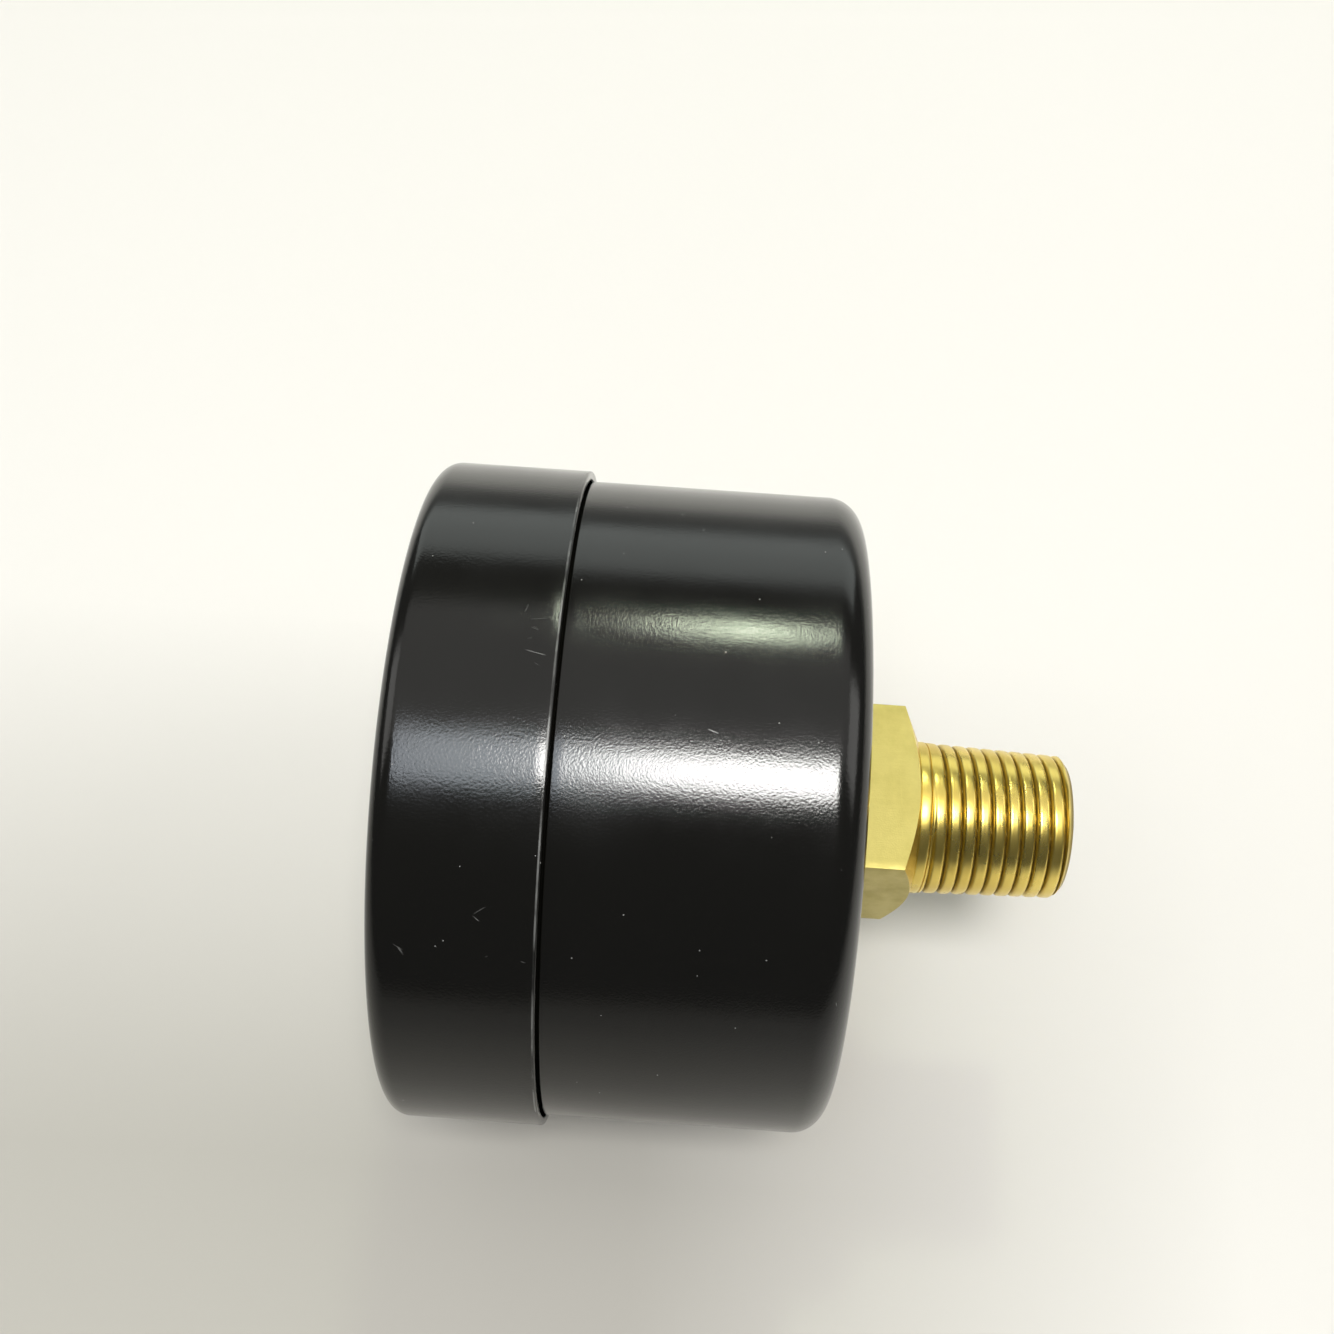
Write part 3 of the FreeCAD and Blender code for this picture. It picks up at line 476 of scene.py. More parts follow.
def sheet_brass_finish():
    """Rolled brass sheet, with the grain of the rolls, patches of tarnish and fine scratches."""
    clean, dull = (0.86, 0.70, 0.32), (0.72, 0.56, 0.24)
    material, tree, shader, place = finish("sheet_brass", clean, Metallic=1.0)
    along = add(tree, "VectorMath", {"operation": "MULTIPLY"}, place, (0.04, 1.0, 1.0)).outputs[0]
    grain = noise(tree, along, 12.0 / mm, 3.0, 0.6)
    mark = shared(tree, handling, place, Patch_size_mm=4.0, Scratches=0.4)
    tarnish = remap(tree, mark["Tarnish"], 0.4, 0.7)
    link(tree, mix(tree, tarnish, clean, dull), shader["Base Color"])
    link(tree, remap(tree, sums(tree, "ADD", grain, tarnish), 0.3, 1.5, 0.22, 0.42), shader["Roughness"])
    bump(tree, shader, sums(tree, "SUBTRACT", grain, mark["Scratches"]), 0.004)
    return material


sheet_brass = sheet_brass_finish()
for name in ("link", "sector_gear", "movement_front_plate", "movement_back_plate"):
    paint_with(node[name], sheet_brass)


# ---------------------------------------------------------------- turned pieces of the movement
# Pillars, posts, stud and collet are turned from brass rod. The pinion with its shaft, the
# sector's arbor, the pins and the screws are free-cutting steel, left bright.
for name in ("movement_pillars", "dial_posts", "hairspring_stud", "hairspring_collet"):
    paint_with(node[name], small_brass)
bright_steel = turned_metal("bright_steel", (0.62, 0.61, 0.59), (0.48, 0.46, 0.43), (0.16, 0.32),
                            ring_depth=0.003, rings=16.0, patch=1.5, scratches=0.3)
for name in ("pinion_shaft", "sector_arbor", "sector_pin", "tip_pin", "movement_screws"):
    paint_with(node[name], bright_steel)


# ---------------------------------------------------------------- hairspring
# A flat spiral of thin phosphor bronze strip, tempered, so it is darker and redder than brass.
def spring_bronze_finish():
    material, tree, shader, place = finish("spring_bronze", (0.70, 0.44, 0.24), Metallic=1.0)
    temper = remap(tree, noise(tree, place, 0.6 / mm, 2.0), 0.35, 0.65)
    link(tree, mix(tree, temper, (0.74, 0.48, 0.26), (0.58, 0.33, 0.18)), shader["Base Color"])
    link(tree, remap(tree, temper, 0.0, 1.0, 0.18, 0.30), shader["Roughness"])
    bump(tree, shader, noise(tree, place, 20.0 / mm, 2.0), 0.001)
    return material


paint_with(node["hairspring"], spring_bronze_finish())


# ---------------------------------------------------------------- dial plate and its print
# A disc of sheet aluminium in satin white enamel, with a black scale screen-printed on it:
# fifty divisions over three quarters of a turn, from lower left to lower right.
def enamel_skin():
    """The fine ripple of sprayed enamel, coarse and fine, as one height."""
    tree, given, result = group("enamel_skin",
                                [("Vector", "Position", None), ("Float", "Ripple size mm", 0.4),
                                 ("Float", "Fine share", 0.35)],
                                ["Height"])
    per_metre = sums(tree, "DIVIDE", 1 / mm, given["Ripple size mm"])
    coarse = noise(tree, given["Position"], per_metre, 1.0, 0.4)
    fine = noise(tree, given["Position"], sums(tree, "MULTIPLY", per_metre, 2.7), 1.0, 0.4)
    link(tree, sums(tree, "ADD", coarse, sums(tree, "MULTIPLY", fine, given["Fine share"])), result["Height"])
    return tree


enamel = enamel_skin()


def dial_white_finish():
    material, tree, shader, place = finish("dial_white", (0.86, 0.86, 0.84), Specular_IOR_Level=0.4)
    skin = shared(tree, enamel, place, Ripple_size_mm=0.5, Fine_share=0.5)["Height"]
    mark = shared(tree, handling, place, Patch_size_mm=9.0, Scratches=0.0)["Tarnish"]
    yellowed = remap(tree, mark, 0.3, 0.7)
    link(tree, mix(tree, yellowed, (0.87, 0.87, 0.85), (0.83, 0.825, 0.80)), shader["Base Color"])
    link(tree, remap(tree, skin, 0.4, 0.9, 0.34, 0.46), shader["Roughness"])
    bump(tree, shader, skin, 0.006)
    return material


def printed_ink_finish():
    material, tree, shader, place = finish("printed_ink", (0.012, 0.012, 0.014))
    mesh_marks = noise(tree, place, 7.0 / mm, 2.0)
    link(tree, mix(tree, mesh_marks, (0.008, 0.008, 0.010), (0.022, 0.022, 0.025)), shader["Base Color"])
    link(tree, remap(tree, mesh_marks, 0.3, 0.7, 0.40, 0.55), shader["Roughness"])
    bump(tree, shader, mesh_marks, 0.003)
    return material


dial_face = (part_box("dial_plate")[0].y - front) / mm
paint_with(node["dial_plate"], dial_white_finish())
ink = printed_ink_finish()
ink_height, scale_start, scale_sweep = 0.03, 225.0, 270.0
scale_numbers, parts_between = 10, 5
long_line, short_line = (14.6, 0.19), (15.9, 0.085)     # inner radius and half width
line_end_r, arc_outer_r = 17.1, 17.28
number_r, number_size, unit_size, unit_z = 12.2, 3.1, 2.4, -8.0
zero_r, zero_shift = 12.4, 11       # keeps the 0 clear of the needle and the stop pin


def on_dial(radius, angle, side=0.0):
    """A place on the dial at a radius and an angle in degrees, moved sideways along the tangent."""
    turn = math.radians(angle)
    return (radius * math.cos(turn) - side * math.sin(turn),
            radius * math.sin(turn) + side * math.cos(turn))


def raise_block(work, corners, back, height):
    """A flat printed shape: its outline on the dial, and the ink's thickness in front of it."""
    low = [work.verts.new((x * mm, front + back * mm, z * mm)) for x, z in corners]
    top = [work.verts.new((x * mm, front + (back - height) * mm, z * mm)) for x, z in corners]
    work.faces.new(low)
    work.faces.new(top[::-1])
    for index in range(len(corners)):
        following = (index + 1) % len(corners)
        work.faces.new((low[index], low[following], top[following], top[index]))


def made_from(name, work):
    """The mesh that has been built up in a bmesh, with every face looking outwards."""
    bmesh.ops.recalc_face_normals(work, faces=work.faces)
    mesh = bpy.data.meshes.new(name)
    work.to_mesh(mesh)
    work.free()
    return mesh


def scale_lines():
    """Divisions and the thin arc that joins them."""
    work = bmesh.new()
    divisions = scale_numbers * parts_between
    for index in range(divisions + 1):
        angle = scale_start - scale_sweep * index / divisions
        inner, half = long_line if index % parts_between == 0 else short_line
        raise_block(work, [on_dial(inner, angle, -half), on_dial(line_end_r, angle, -half),
                           on_dial(line_end_r, angle, half), on_dial(inner, angle, half)],
                    dial_face, ink_height)
    steps = 180
    turns = [scale_start - scale_sweep * step / steps for step in range(steps + 1)]
    arc_edges = [on_dial(line_end_r, angle) for angle in turns]
    arc_edges += [on_dial(arc_outer_r, angle) for angle in reversed(turns)]
    raise_block(work, arc_edges, dial_face, ink_height)
    return made_from("dial_scale", work)


def words(name, entries):
    """Printed characters, each as (text, height, x, z), made into one mesh."""
    work = bmesh.new()
    for text, size, x, z in entries:
        curve = bpy.data.curves.new(name, "FONT")
        curve.body, curve.size, curve.extrude = text, size * mm, ink_height * mm / 2
        curve.align_x, curve.align_y = "CENTER", "CENTER"
        holder = bpy.data.objects.new(name, curve)
        bpy.context.scene.collection.objects.link(holder)
        flat = bpy.data.meshes.new_from_object(holder)
        flat.transform(Matrix.Translation((x * mm, front + (dial_face - ink_height / 2) * mm, z * mm))
                       @ Matrix.Rotation(math.radians(90), 4, "X"))
        work.from_mesh(flat)
        bpy.data.objects.remove(holder)
    return made_from(name, work)


print_on_dial = [("0", number_size, *on_dial(zero_r, scale_start - zero_shift))]
print_on_dial += [(str(value), number_size,
                   *on_dial(number_r, scale_start - scale_sweep * value / scale_numbers))
                  for value in range(2, scale_numbers + 1, 2)]
print_on_dial += [("bar", unit_size, 0.0, unit_z)]
piece_of("dial_scale", scale_lines(), "gauge", "dial", ink)
piece_of("dial_numbers", words("dial_numbers", print_on_dial), "gauge", "dial", ink)


# ---------------------------------------------------------------- dial screws and stop pin
# Two cheese-head screws hold the dial to its posts, and a pin in the dial stops the needle at
# zero. They are plain bright steel.
def rounded(outline, size, steps=3):
    """The closed outline with each corner rounded off, apart from those on the axis."""
    made = []
    for index, corner in enumerate(outline):
        if corner[0] == 0:
            made.append(corner)
            continue
        here, before = Vector(corner), Vector(outline[index - 1])
        after = Vector(outline[(index + 1) % len(outline)])
        room = min(size, (before - here).length * 0.45, (after - here).length * 0.45)
        a = here + (before - here).normalized() * room
        b = here + (after - here).normalized() * room
        for step in range(steps + 1):
            t = step / steps
            made.append(tuple(a * (1 - t) ** 2 + here * 2 * t * (1 - t) + b * t ** 2))
    return made


def cut_away(mesh, cutters):
    """The mesh with other solids cut out of it."""
    holder = bpy.data.objects.new("holder", mesh)
    bpy.context.scene.collection.objects.link(holder)
    for cutter in cutters:
        tool = bpy.data.objects.new("cutter", cutter)
        bpy.context.scene.collection.objects.link(tool)
        step = holder.modifiers.new("cut", "BOOLEAN")
        step.operation, step.solver, step.object = "DIFFERENCE", "EXACT", tool
    bpy.context.view_layer.update()
    result = bpy.data.meshes.new_from_object(holder.evaluated_get(bpy.context.evaluated_depsgraph_get()))
    for step in list(holder.modifiers):
        bpy.data.objects.remove(step.object)
    bpy.data.objects.remove(holder)
    result.name = mesh.name
    return result


def block(name, low, high):
    """A plain block between two (x, depth, z) corners, used only to cut with."""
    work = bmesh.new()
    (x0, d0, z0), (x1, d1, z1) = low, high
    raise_block(work, [(x0, z0), (x1, z0), (x1, z1), (x0, z1)], d1, d1 - d0)
    return made_from(name, work)


def joined(name, meshes):
    """Like pieces, put together as one mesh."""
    work = bmesh.new()
    for mesh in meshes:
        work.from_mesh(mesh)
    return made_from(name, work)


def screw(name, centre, outline, slot_r, slot_front, slot_back, slot_width):
    """One slotted screw, turned and then sawn across its head."""
    body = closed_up(turned(name, outline, 64, centre))
    x, z = centre
    saw = block("saw", (x - slot_r, slot_front, z - slot_width / 2),
                (x + slot_r, slot_back, z + slot_width / 2))
    return cut_away(body, [saw])


screw_x, head_r, shank_r, head_high, screw_end = 8.4, 1.4, 0.7, 0.7, 10.1
head_round, slot_deep, slot_wide, past_head = 0.18, 0.35, 0.35, 0.1
head = [(0, dial_face - head_high), (head_r, dial_face - head_high), (head_r, dial_face)]
shank = [(shank_r, dial_face), (shank_r, screw_end), (0, screw_end)]
rounded_head = rounded(head, head_round)[:-4] + [(head_r, dial_face)]     # sharp where it sits on the dial
dial_screws = [screw("dial_screw", (side * screw_x, 0.0), rounded_head + shank, head_r + past_head,
                     dial_face - head_high - past_head, dial_face - head_high + slot_deep, slot_wide)
               for side in (-1, 1)]
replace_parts(piece_of("dial_screw_pair", joined("dial_screw_pair", dial_screws), "gauge", "small_screws",
                     bright_steel), "dial_screws")

pin_low, pin_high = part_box("stop_pin")
pin_centre = ((pin_low.x + pin_high.x) / 2 / mm, (pin_low.z + pin_high.z) / 2 / mm)
pin_front, pin_back = (pin_low.y - front) / mm, (pin_high.y - front) / mm
pin_r, pin_round = (pin_high.x - pin_low.x) / 2 / mm, 0.12
pin_outline = [(0, pin_front), (pin_r, pin_front), (pin_r, pin_back), (0, pin_back)]
stop = closed_up(turned("stop_pin_round", rounded(pin_outline, pin_round), 48, pin_centre))
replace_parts(piece_of("stop_pin_round", stop, "gauge", "small_screws", bright_steel), "stop_pin")


# ---------------------------------------------------------------- pointer and its bush
# The needle is punched from thin aluminium and painted matte black. A brass bush is riveted
# through it and pressed on the pinion's shaft.
def needle_black_finish():
    material, tree, shader, place = finish("needle_black", (0.014, 0.014, 0.015),
                                           Specular_IOR_Level=0.35)
    skin = shared(tree, enamel, place, Ripple_size_mm=0.12, Fine_share=0.6)["Height"]
    link(tree, remap(tree, skin, 0.4, 0.9, 0.42, 0.60), shader["Roughness"])
    link(tree, mix(tree, skin, (0.010, 0.010, 0.011), (0.018, 0.018, 0.019)), shader["Base Color"])
    bump(tree, shader, skin, 0.003)
    return material


needle_front, needle_back = ((corner.y - front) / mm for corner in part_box("pointer"))
needle_length, needle_tail, root_half, tip_half, tail_half, hub_r = 14.6, 5.2, 0.8, 0.12, 1.2, 1.9
point_long, point_flare, tail_neck, punched_edge = 0.3, 0.01, root_half + 0.16, 0.05
tail_start, tail_turn = 95, 85      # degrees round the tail's rounded end


def needle_outline(steps=24):
    """Once round the needle, pointing along +X: point, side, hub, side, rounded tail, and back."""
    def half_at(x):
        return root_half + (tip_half - root_half) * x / needle_length
    hub_meets = math.sqrt(hub_r ** 2 - half_at(hub_r) ** 2)
    start = math.atan2(half_at(hub_meets), hub_meets)
    tail_meets = math.atan2(tail_neck, -math.sqrt(hub_r ** 2 - tail_neck ** 2))
    top = [(needle_length - point_long, tip_half + point_flare)]
    top += [(hub_r * math.cos(start + (tail_meets - start) * step / steps),
             hub_r * math.sin(start + (tail_meets - start) * step / steps)) for step in range(steps + 1)]
    top += [(-needle_tail + tail_half * math.cos(math.radians(tail_start + tail_turn * step / steps)),
             tail_half * math.sin(math.radians(tail_start + tail_turn * step / steps)))
            for step in range(steps)]
    below = [(x, -z) for x, z in reversed(top)]
    return [(needle_length, 0.0)] + top + [(-needle_tail - tail_half, 0.0)] + below


zero_turn = math.radians(scale_start)
at_zero = [(x * math.cos(zero_turn) - z * math.sin(zero_turn),
            x * math.sin(zero_turn) + z * math.cos(zero_turn)) for x, z in needle_outline()]
work = bmesh.new()
raise_block(work, at_zero, needle_back, needle_back - needle_front)
needle = piece_of("needle", made_from("needle", work), "pointer", "pointer", needle_black_finish())
edge = needle.modifiers.new("punched_edge", "BEVEL")
edge.width, edge.segments = punched_edge * mm, 2
edge.limit_method, edge.angle_limit = "ANGLE", math.radians(50)
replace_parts(needle, "pointer")

bush_r, flange_r, shaft_r, bush_high, bush_round = 1.1, 1.7, 0.51, 0.6, 0.1
rivet_r, rivet_front = flange_r - 0.2, needle_front - 0.02
bush = closed_up(turned("needle_bush", rounded(
    [(shaft_r, needle_front - bush_high), (bush_r, needle_front - bush_high), (bush_r, rivet_front),
     (rivet_r, rivet_front), (rivet_r, needle_front), (bush_r, needle_front),
     (bush_r, needle_back), (flange_r, needle_back), (flange_r, needle_back + bush_high),
     (shaft_r, needle_back + bush_high)], bush_round), 96))
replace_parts(piece_of("needle_bush", bush, "pointer", "turned_brass", small_brass), "pointer_bush")


# ---------------------------------------------------------------- case
# A deep-drawn steel cup in gloss black enamel, necked in under the bezel with a bead rolled
# round it. A square hole lets the stem out of its back, between two countersunk screws.
def dust_and_nicks():
    """Specks of dust under the paint, and a few scratches, kept to rare patches."""
    tree, given, result = group("dust_and_nicks",
                                [("Vector", "Position", None), ("Float", "Speck size mm", 0.05)],
                                ["Specks", "Nicks"])
    specks_per_mm = 0.75
    specks = add(tree, "TexVoronoi", {}, given["Position"], None, specks_per_mm / mm).outputs["Distance"]
    speck_edge = sums(tree, "MULTIPLY", given["Speck size mm"], specks_per_mm)
    link(tree, sums(tree, "LESS_THAN", specks, speck_edge), result["Specks"])
    marks = shared(tree, handling, given["Position"], Patch_size_mm=2.0, Scratches=1.0)["Scratches"]
    rare = remap(tree, noise(tree, given["Position"], 0.22 / mm, 1.0), 0.70, 0.74)
    link(tree, sums(tree, "MULTIPLY", marks, rare), result["Nicks"])
    return tree


dust = dust_and_nicks()


def gloss_enamel_finish(name, ripple, highlight_depth=None):
    """Sprayed gloss black, rippled like orange peel, with a little dust and a few fine nicks.
    Where a depth is given for it, a patchy pale line at that depth is a painted highlight."""
    black, bare = (0.0055, 0.0052, 0.0042), (0.34, 0.34, 0.33)
    material, tree, shader, place = finish(name, black, IOR=1.5)
    skin = shared(tree, enamel, place, Ripple_size_mm=ripple, Fine_share=0.5)["Height"]
    grit = shared(tree, dust, place, Speck_size_mm=0.036)
    marks = sums(tree, "MAXIMUM", grit["Specks"], sums(tree, "MULTIPLY", grit["Nicks"], 0.7))
    # Painted highlight: a patchy pale line at the given depth, in the same pale colour as the dust.
    if highlight_depth:
        along = add(tree, "SeparateXYZ", {}, place).outputs[1]
        off_line = sums(tree, "ABSOLUTE", sums(tree, "SUBTRACT", along, front + highlight_depth * mm))
        line = remap(tree, off_line, 0.03 * mm, 0.07 * mm, 1.0, 0.0)
        patchy_highlight = remap(tree, noise(tree, place, 0.35 / mm, 3.0), 0.42, 0.66, 0.04, 0.6)
        marks = sums(tree, "MAXIMUM", marks, sums(tree, "MULTIPLY", line, patchy_highlight))
    link(tree, mix(tree, marks, black, bare), shader["Base Color"])
    worn = remap(tree, noise(tree, place, 0.25 / mm, 3.0), 0.3, 0.7, 0.12, 0.18)
    link(tree, sums(tree, "ADD", worn, sums(tree, "MULTIPLY", marks, 0.4)), shader["Roughness"])
    bump(tree, shader, sums(tree, "ADD", skin, sums(tree, "MULTIPLY", marks, 0.6)), 0.0055)
    return material


case_enamel = gloss_enamel_finish("case_enamel", 0.13)
case_r, case_neck_r, case_sheet, case_corner, case_end = 20.6, 20.3, 0.7, 2.0, 26.9
case_mouth, bead_depth, bead_high, shoulder, shoulder_slope = 3.6, 6.5, 0.42, 9.55, 0.08
mouth_round, shoulder_end = 0.2, shoulder + shoulder_slope
shoulder_round, shoulder_rise, inner_corner = 0.08, 0.06, 1.3
inner_r, inner_neck_r, inner_back = case_r - case_sheet, case_neck_r - case_sheet, case_end - case_sheet
# The extra points beside a corner keep the shading of the long faces straight.
case_outline = [(0, case_end), (case_r - case_corner - 0.02, case_end)]
case_outline += arc(case_r - case_corner, case_end - case_corner, case_corner, 90, 0, 20)
case_outline += [(case_r, case_end - case_corner - 0.3), (case_r, shoulder_end + 0.6)]
case_outline += arc(case_r - shoulder_round, shoulder_end + shoulder_rise, shoulder_round, 0, -70, 5)
case_outline += [(case_neck_r + 0.02, shoulder), (case_neck_r, shoulder - 0.05)]
case_outline += arc(case_neck_r, bead_depth, bead_high, 90, -90, 16)
case_outline += arc(case_neck_r - mouth_round, case_mouth + mouth_round, mouth_round, 0, -90, 4)
case_outline += arc(inner_neck_r + mouth_round, case_mouth + mouth_round, mouth_round, -90, -180, 4)
case_outline += [(inner_neck_r, shoulder + case_sheet), (inner_r, shoulder_end + case_sheet)]
case_outline += arc(inner_r - inner_corner, inner_back - inner_corner, inner_corner, 0, 90, 10)
case_outline += [(0, inner_back)]

hole_half, screw_place, head_seat, shank_seat, past = 5.7, 9.35, 2.71, 1.51, 1
cut_front, cut_back = inner_back - past, case_end + past
square_hole = block("square_hole", (-hole_half, cut_front, -hole_half), (hole_half, cut_back, hole_half))
seat_outline = [(0, cut_front), (shank_seat, cut_front), (shank_seat, case_end - (head_seat - shank_seat)),
                (head_seat + past, cut_back), (0, cut_back)]
seats = [closed_up(turned("seat", seat_outline, 96, (side * screw_place, 0.0))) for side in (-1, 1)]
case_mesh = cut_away(closed_up(turned("case_cup", case_outline, 320)), [square_hole, *seats])
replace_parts(piece_of("case_cup", case_mesh, "gauge", "case_paint", case_enamel), "case")


# ---------------------------------------------------------------- case screws
# Two countersunk slotted screws, zinc plated, from the back of the case into the flange.
zinc = turned_metal("zinc_plate", (0.58, 0.57, 0.54), (0.46, 0.45, 0.41), (0.24, 0.42),
                    ring_depth=0.005, rings=7.0, patch=1.0, scratches=0.6)
sunk_r, sunk_rim, bore_r, screw_back, screw_front = 2.7, 0.08, 1.5, 26.9, 23.3
saw_wide, saw_deep, saw_past, saw_above = 0.7, 0.7, 0.2, 0.5
sunk_outline = [(0, screw_back), (sunk_r - sunk_rim, screw_back), (sunk_r, screw_back - sunk_rim),
                (bore_r, screw_back - (sunk_r - bore_r) - sunk_rim), (bore_r, screw_front), (0, screw_front)]
case_screws = [screw("case_screw", (side * screw_place, 0.0), sunk_outline, sunk_r + saw_past,
                     screw_back - saw_deep, screw_back + saw_above, saw_wide) for side in (-1, 1)]
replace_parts(piece_of("case_screw_pair", joined("case_screw_pair", case_screws), "gauge", "case_screws",
                     zinc), "case_screws")


# ---------------------------------------------------------------- gasket
# A flat black rubber ring, squeezed between the window and the front edge of the case.
def rubber_finish():
    material, tree, shader, place = finish("gasket_rubber", (0.02, 0.02, 0.02))
    bloom = noise(tree, place, 1.2 / mm, 4.0, 0.6)
    link(tree, mix(tree, remap(tree, bloom, 0.5, 0.8), (0.016, 0.016, 0.017), (0.05, 0.05, 0.048)),
         shader["Base Color"])
    link(tree, remap(tree, bloom, 0.3, 0.7, 0.55, 0.75), shader["Roughness"])
    bump(tree, shader, noise(tree, place, 12.0 / mm, 2.0), 0.008)
    return material


window_r, window_front, window_back = 20.0, 0.5, 2.3
gasket_r, gasket_round = 18.6, 0.3
gasket_outline = [(gasket_r, window_back), (window_r, window_back), (window_r, case_mouth),
                  (gasket_r, case_mouth)]
ring = closed_up(turned("gasket_ring", rounded(gasket_outline, gasket_round), 192))
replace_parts(piece_of("gasket_ring", ring, "gauge", "gasket", rubber_finish()), "window_gasket")


# ---------------------------------------------------------------- window
# A disc of clear plastic with broken edges. Lamps reach the dial straight through it.
def clear_plastic_finish():
    material, tree, shader, place = finish("clear_plastic", (0.98, 0.99, 0.985), Metallic=0.0, IOR=1.49,
                                           Transmission_Weight=1.0)
    smear = noise(tree, place, 0.12 / mm, 3.0)
    link(tree, remap(tree, smear, 0.4, 0.7, 0.01, 0.04), shader["Roughness"])
    output = tree.nodes["Material Output"].inputs["Surface"]
    through_light = add(tree, "MixShader", {}, add(tree, "LightPath", {}).outputs["Is Shadow Ray"],
                        tree.nodes["Principled BSDF"].outputs[0], add(tree, "BsdfTransparent", {}).outputs[0])
    link(tree, through_light.outputs[0], output)
    return material


window_round = 0.15
pane_outline = [(0, window_front), (window_r, window_front), (window_r, window_back), (0, window_back)]
pane = closed_up(turned("window_disc", rounded(pane_outline, window_round), 192))
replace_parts(piece_of("window_disc", pane, "gauge", "window", clear_plastic_finish()), "window")


# ---------------------------------------------------------------- bezel ring
# Pressed from thin steel and enamelled like the case. Its front lip holds the window, and its
# skirt snaps over the case's bead. A patchy pale line along its rolled rear edge is a painted highlight.
bezel_r, bezel_inner_r, bezel_sheet, bezel_end, bezel_corner = 21.25, 20.75, 0.5, 9.5, 1.2
lip_r, edge_round, highlight_line = 18.2, 0.12, 0.14       # the painted highlight is a line this far from the rear edge
corner_r = bezel_r - bezel_corner
bezel_outline = arc(lip_r + bezel_sheet / 2, bezel_sheet / 2, bezel_sheet / 2, 90, 270, 10)
bezel_outline += [(corner_r - 0.6, 0.0)]
bezel_outline += arc(corner_r, bezel_corner, bezel_corner, -90, 0, 18)
bezel_outline += [(bezel_r, bezel_corner + 0.4), (bezel_r, bezel_end - 0.8)]
bezel_outline += arc(bezel_r - edge_round, bezel_end - edge_round, edge_round, 0, 90, 6)
bezel_outline += [(bezel_inner_r + 0.05, bezel_end), (bezel_inner_r, bezel_end - 0.05)]
bezel_outline += arc(corner_r, bezel_corner, bezel_corner - bezel_sheet, 0, -90, 10)
bezel_mesh = closed_up(turned("bezel_pressing", bezel_outline, 320))
# A painted highlight runs round the bezel's rolled rear edge.
bezel_enamel = gloss_enamel_finish("bezel_enamel", 0.15, bezel_end - highlight_line)
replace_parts(piece_of("bezel_pressing", bezel_mesh, "gauge", "bezel_paint", bezel_enamel), "bezel_ring")


# ---------------------------------------------------------------- floor, light and camera
# A pale sheet of paper under soft boxes: a key overhead with a dim cool one beside it, a small
# one at the side with a dim one round it, a ceiling, a wall and two fills. The camera looks down
# on the gauge from its side.
def floor_paper_finish():
    """Matt white paper with painted shade that greys it at the near left. It darkens to grey away from the
    gauge along X.
    """
    material, tree, shader, place = finish("floor_paper", (0.9, 0.89, 0.87), Roughness=0.75)
    across = add(tree, "SeparateXYZ", {}, place).outputs
    # Painted shade: the paper turns grey towards the near left corner.
    near = remap(tree, across[0], -0.022, 0.022)
    left = remap(tree, across[1], 0.022, -0.022)
    grey = sums(tree, "MULTIPLY", near, left)
    tone = remap(tree, noise(tree, place, 6.0, 2.0), 0.3, 0.7)
    paper = mix(tree, tone, (0.84, 0.815, 0.775), (0.86, 0.835, 0.795))
    shaded = mix(tree, grey, paper, (0.51, 0.49, 0.445))
    beyond = sums(tree, "MAXIMUM", remap(tree, across[0], -0.12, -0.20),
                  remap(tree, across[0], 0.034, 0.14, 0.0, 0.6))
    link(tree, mix(tree, beyond, shaded, (0.24, 0.24, 0.24)), shader["Base Color"])
    return material


bpy.ops.mesh.primitive_plane_add(size=8.0, location=(0, 0, cad_box[0].z))
floor = bpy.context.object
floor.name = "floor"
paint_with(floor, floor_paper_finish())


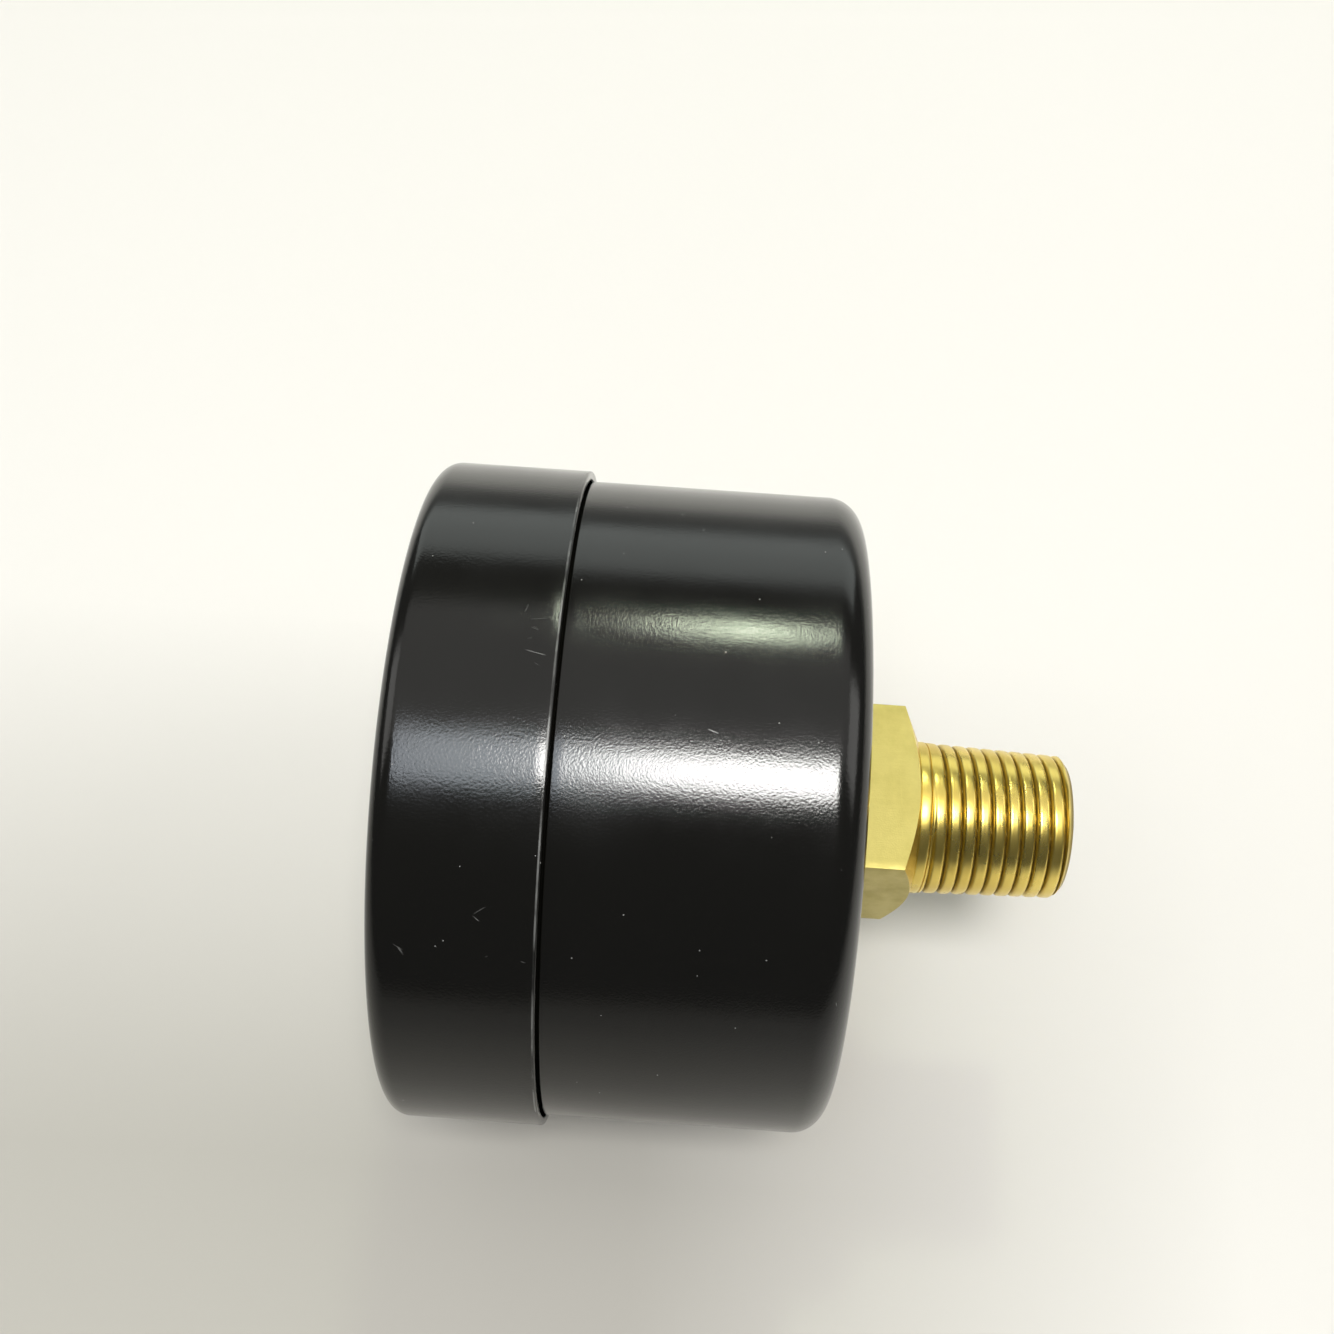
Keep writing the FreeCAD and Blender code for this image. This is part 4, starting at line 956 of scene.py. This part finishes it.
def soft_light(name, direction, distance, width, height, radiance, colour):
    """A rectangular soft box, turned to face the gauge."""
    lamp = bpy.data.lights.new(name, "AREA")
    lamp.shape = "RECTANGLE"
    lamp.size, lamp.size_y = width, height
    lamp.energy = radiance * math.pi * width * height
    lamp.color = colour
    box = bpy.data.objects.new(name, lamp)
    bpy.context.scene.collection.objects.link(box)
    away = Vector(direction).normalized()
    across = Vector((0, 1, 0)).cross(away).normalized()
    middle = Vector((0, -20 * mm, 0)) + away * distance
    facing = Matrix((across, away.cross(across), away)).transposed().to_4x4()
    box.matrix_world = Matrix.Translation(middle) @ facing
    box.visible_camera = False


soft_light("key", (0.183, 0.07, 0.980), 0.6, 0.115, 0.148, 40.0, (1.0, 0.99, 0.96))
soft_light("key_dim", (0.200, -0.16, 0.980), 0.6, 0.17, 0.12, 6.6, (0.85, 0.92, 1.0))
soft_light("side", (-0.649, 0.04, 0.758), 0.6, 0.035, 0.04, 84.0, (0.9, 1.0, 0.75))
soft_light("side_dim", (-0.66, 0.08, 0.75), 0.6, 0.10, 0.16, 0.8, (0.92, 1.0, 0.95))
soft_light("ceiling", (-0.30, 0.0, 0.9), 1.0, 0.9, 1.2, 0.62, (1.0, 0.985, 0.95))
soft_light("wall", (-1.0, 0.0, 0.25), 1.2, 0.56, 1.6, 1.25, (0.93, 1.0, 0.96))
soft_light("fill_left", (-0.15, -0.75, 0.65), 0.9, 0.5, 0.5, 1.6, (1.0, 0.99, 0.96))
soft_light("fill_right", (-0.15, 0.75, 0.65), 0.9, 0.5, 0.5, 1.8, (1.0, 0.99, 0.96))

room = bpy.data.worlds.new("room")
bpy.context.scene.world = room
room.use_nodes = True
room.node_tree.nodes["Background"].inputs["Color"].default_value = (0.95, 0.97, 1.0, 1.0)
room.node_tree.nodes["Background"].inputs["Strength"].default_value = 0.10

lens = bpy.data.cameras.new("camera")
lens.sensor_width, lens.lens, lens.clip_start = 36, 41.83, 0.005
camera = bpy.data.objects.new("camera", lens)
bpy.context.scene.collection.objects.link(camera)
# right is across the picture, and back is from the gauge to the camera.
right = Vector((-0.06803, 0.99751, 0.01839)).normalized()
back = Vector((0.42111, 0.01200, 0.90693)).normalized()
camera.matrix_world = Matrix.Translation((35.411 * mm, -21.190 * mm, 97.114 * mm)) @ Matrix(
    (right, back.cross(right), back)).transposed().to_4x4()
bpy.context.scene.camera = camera
bpy.context.scene.view_settings.view_transform = "Standard"
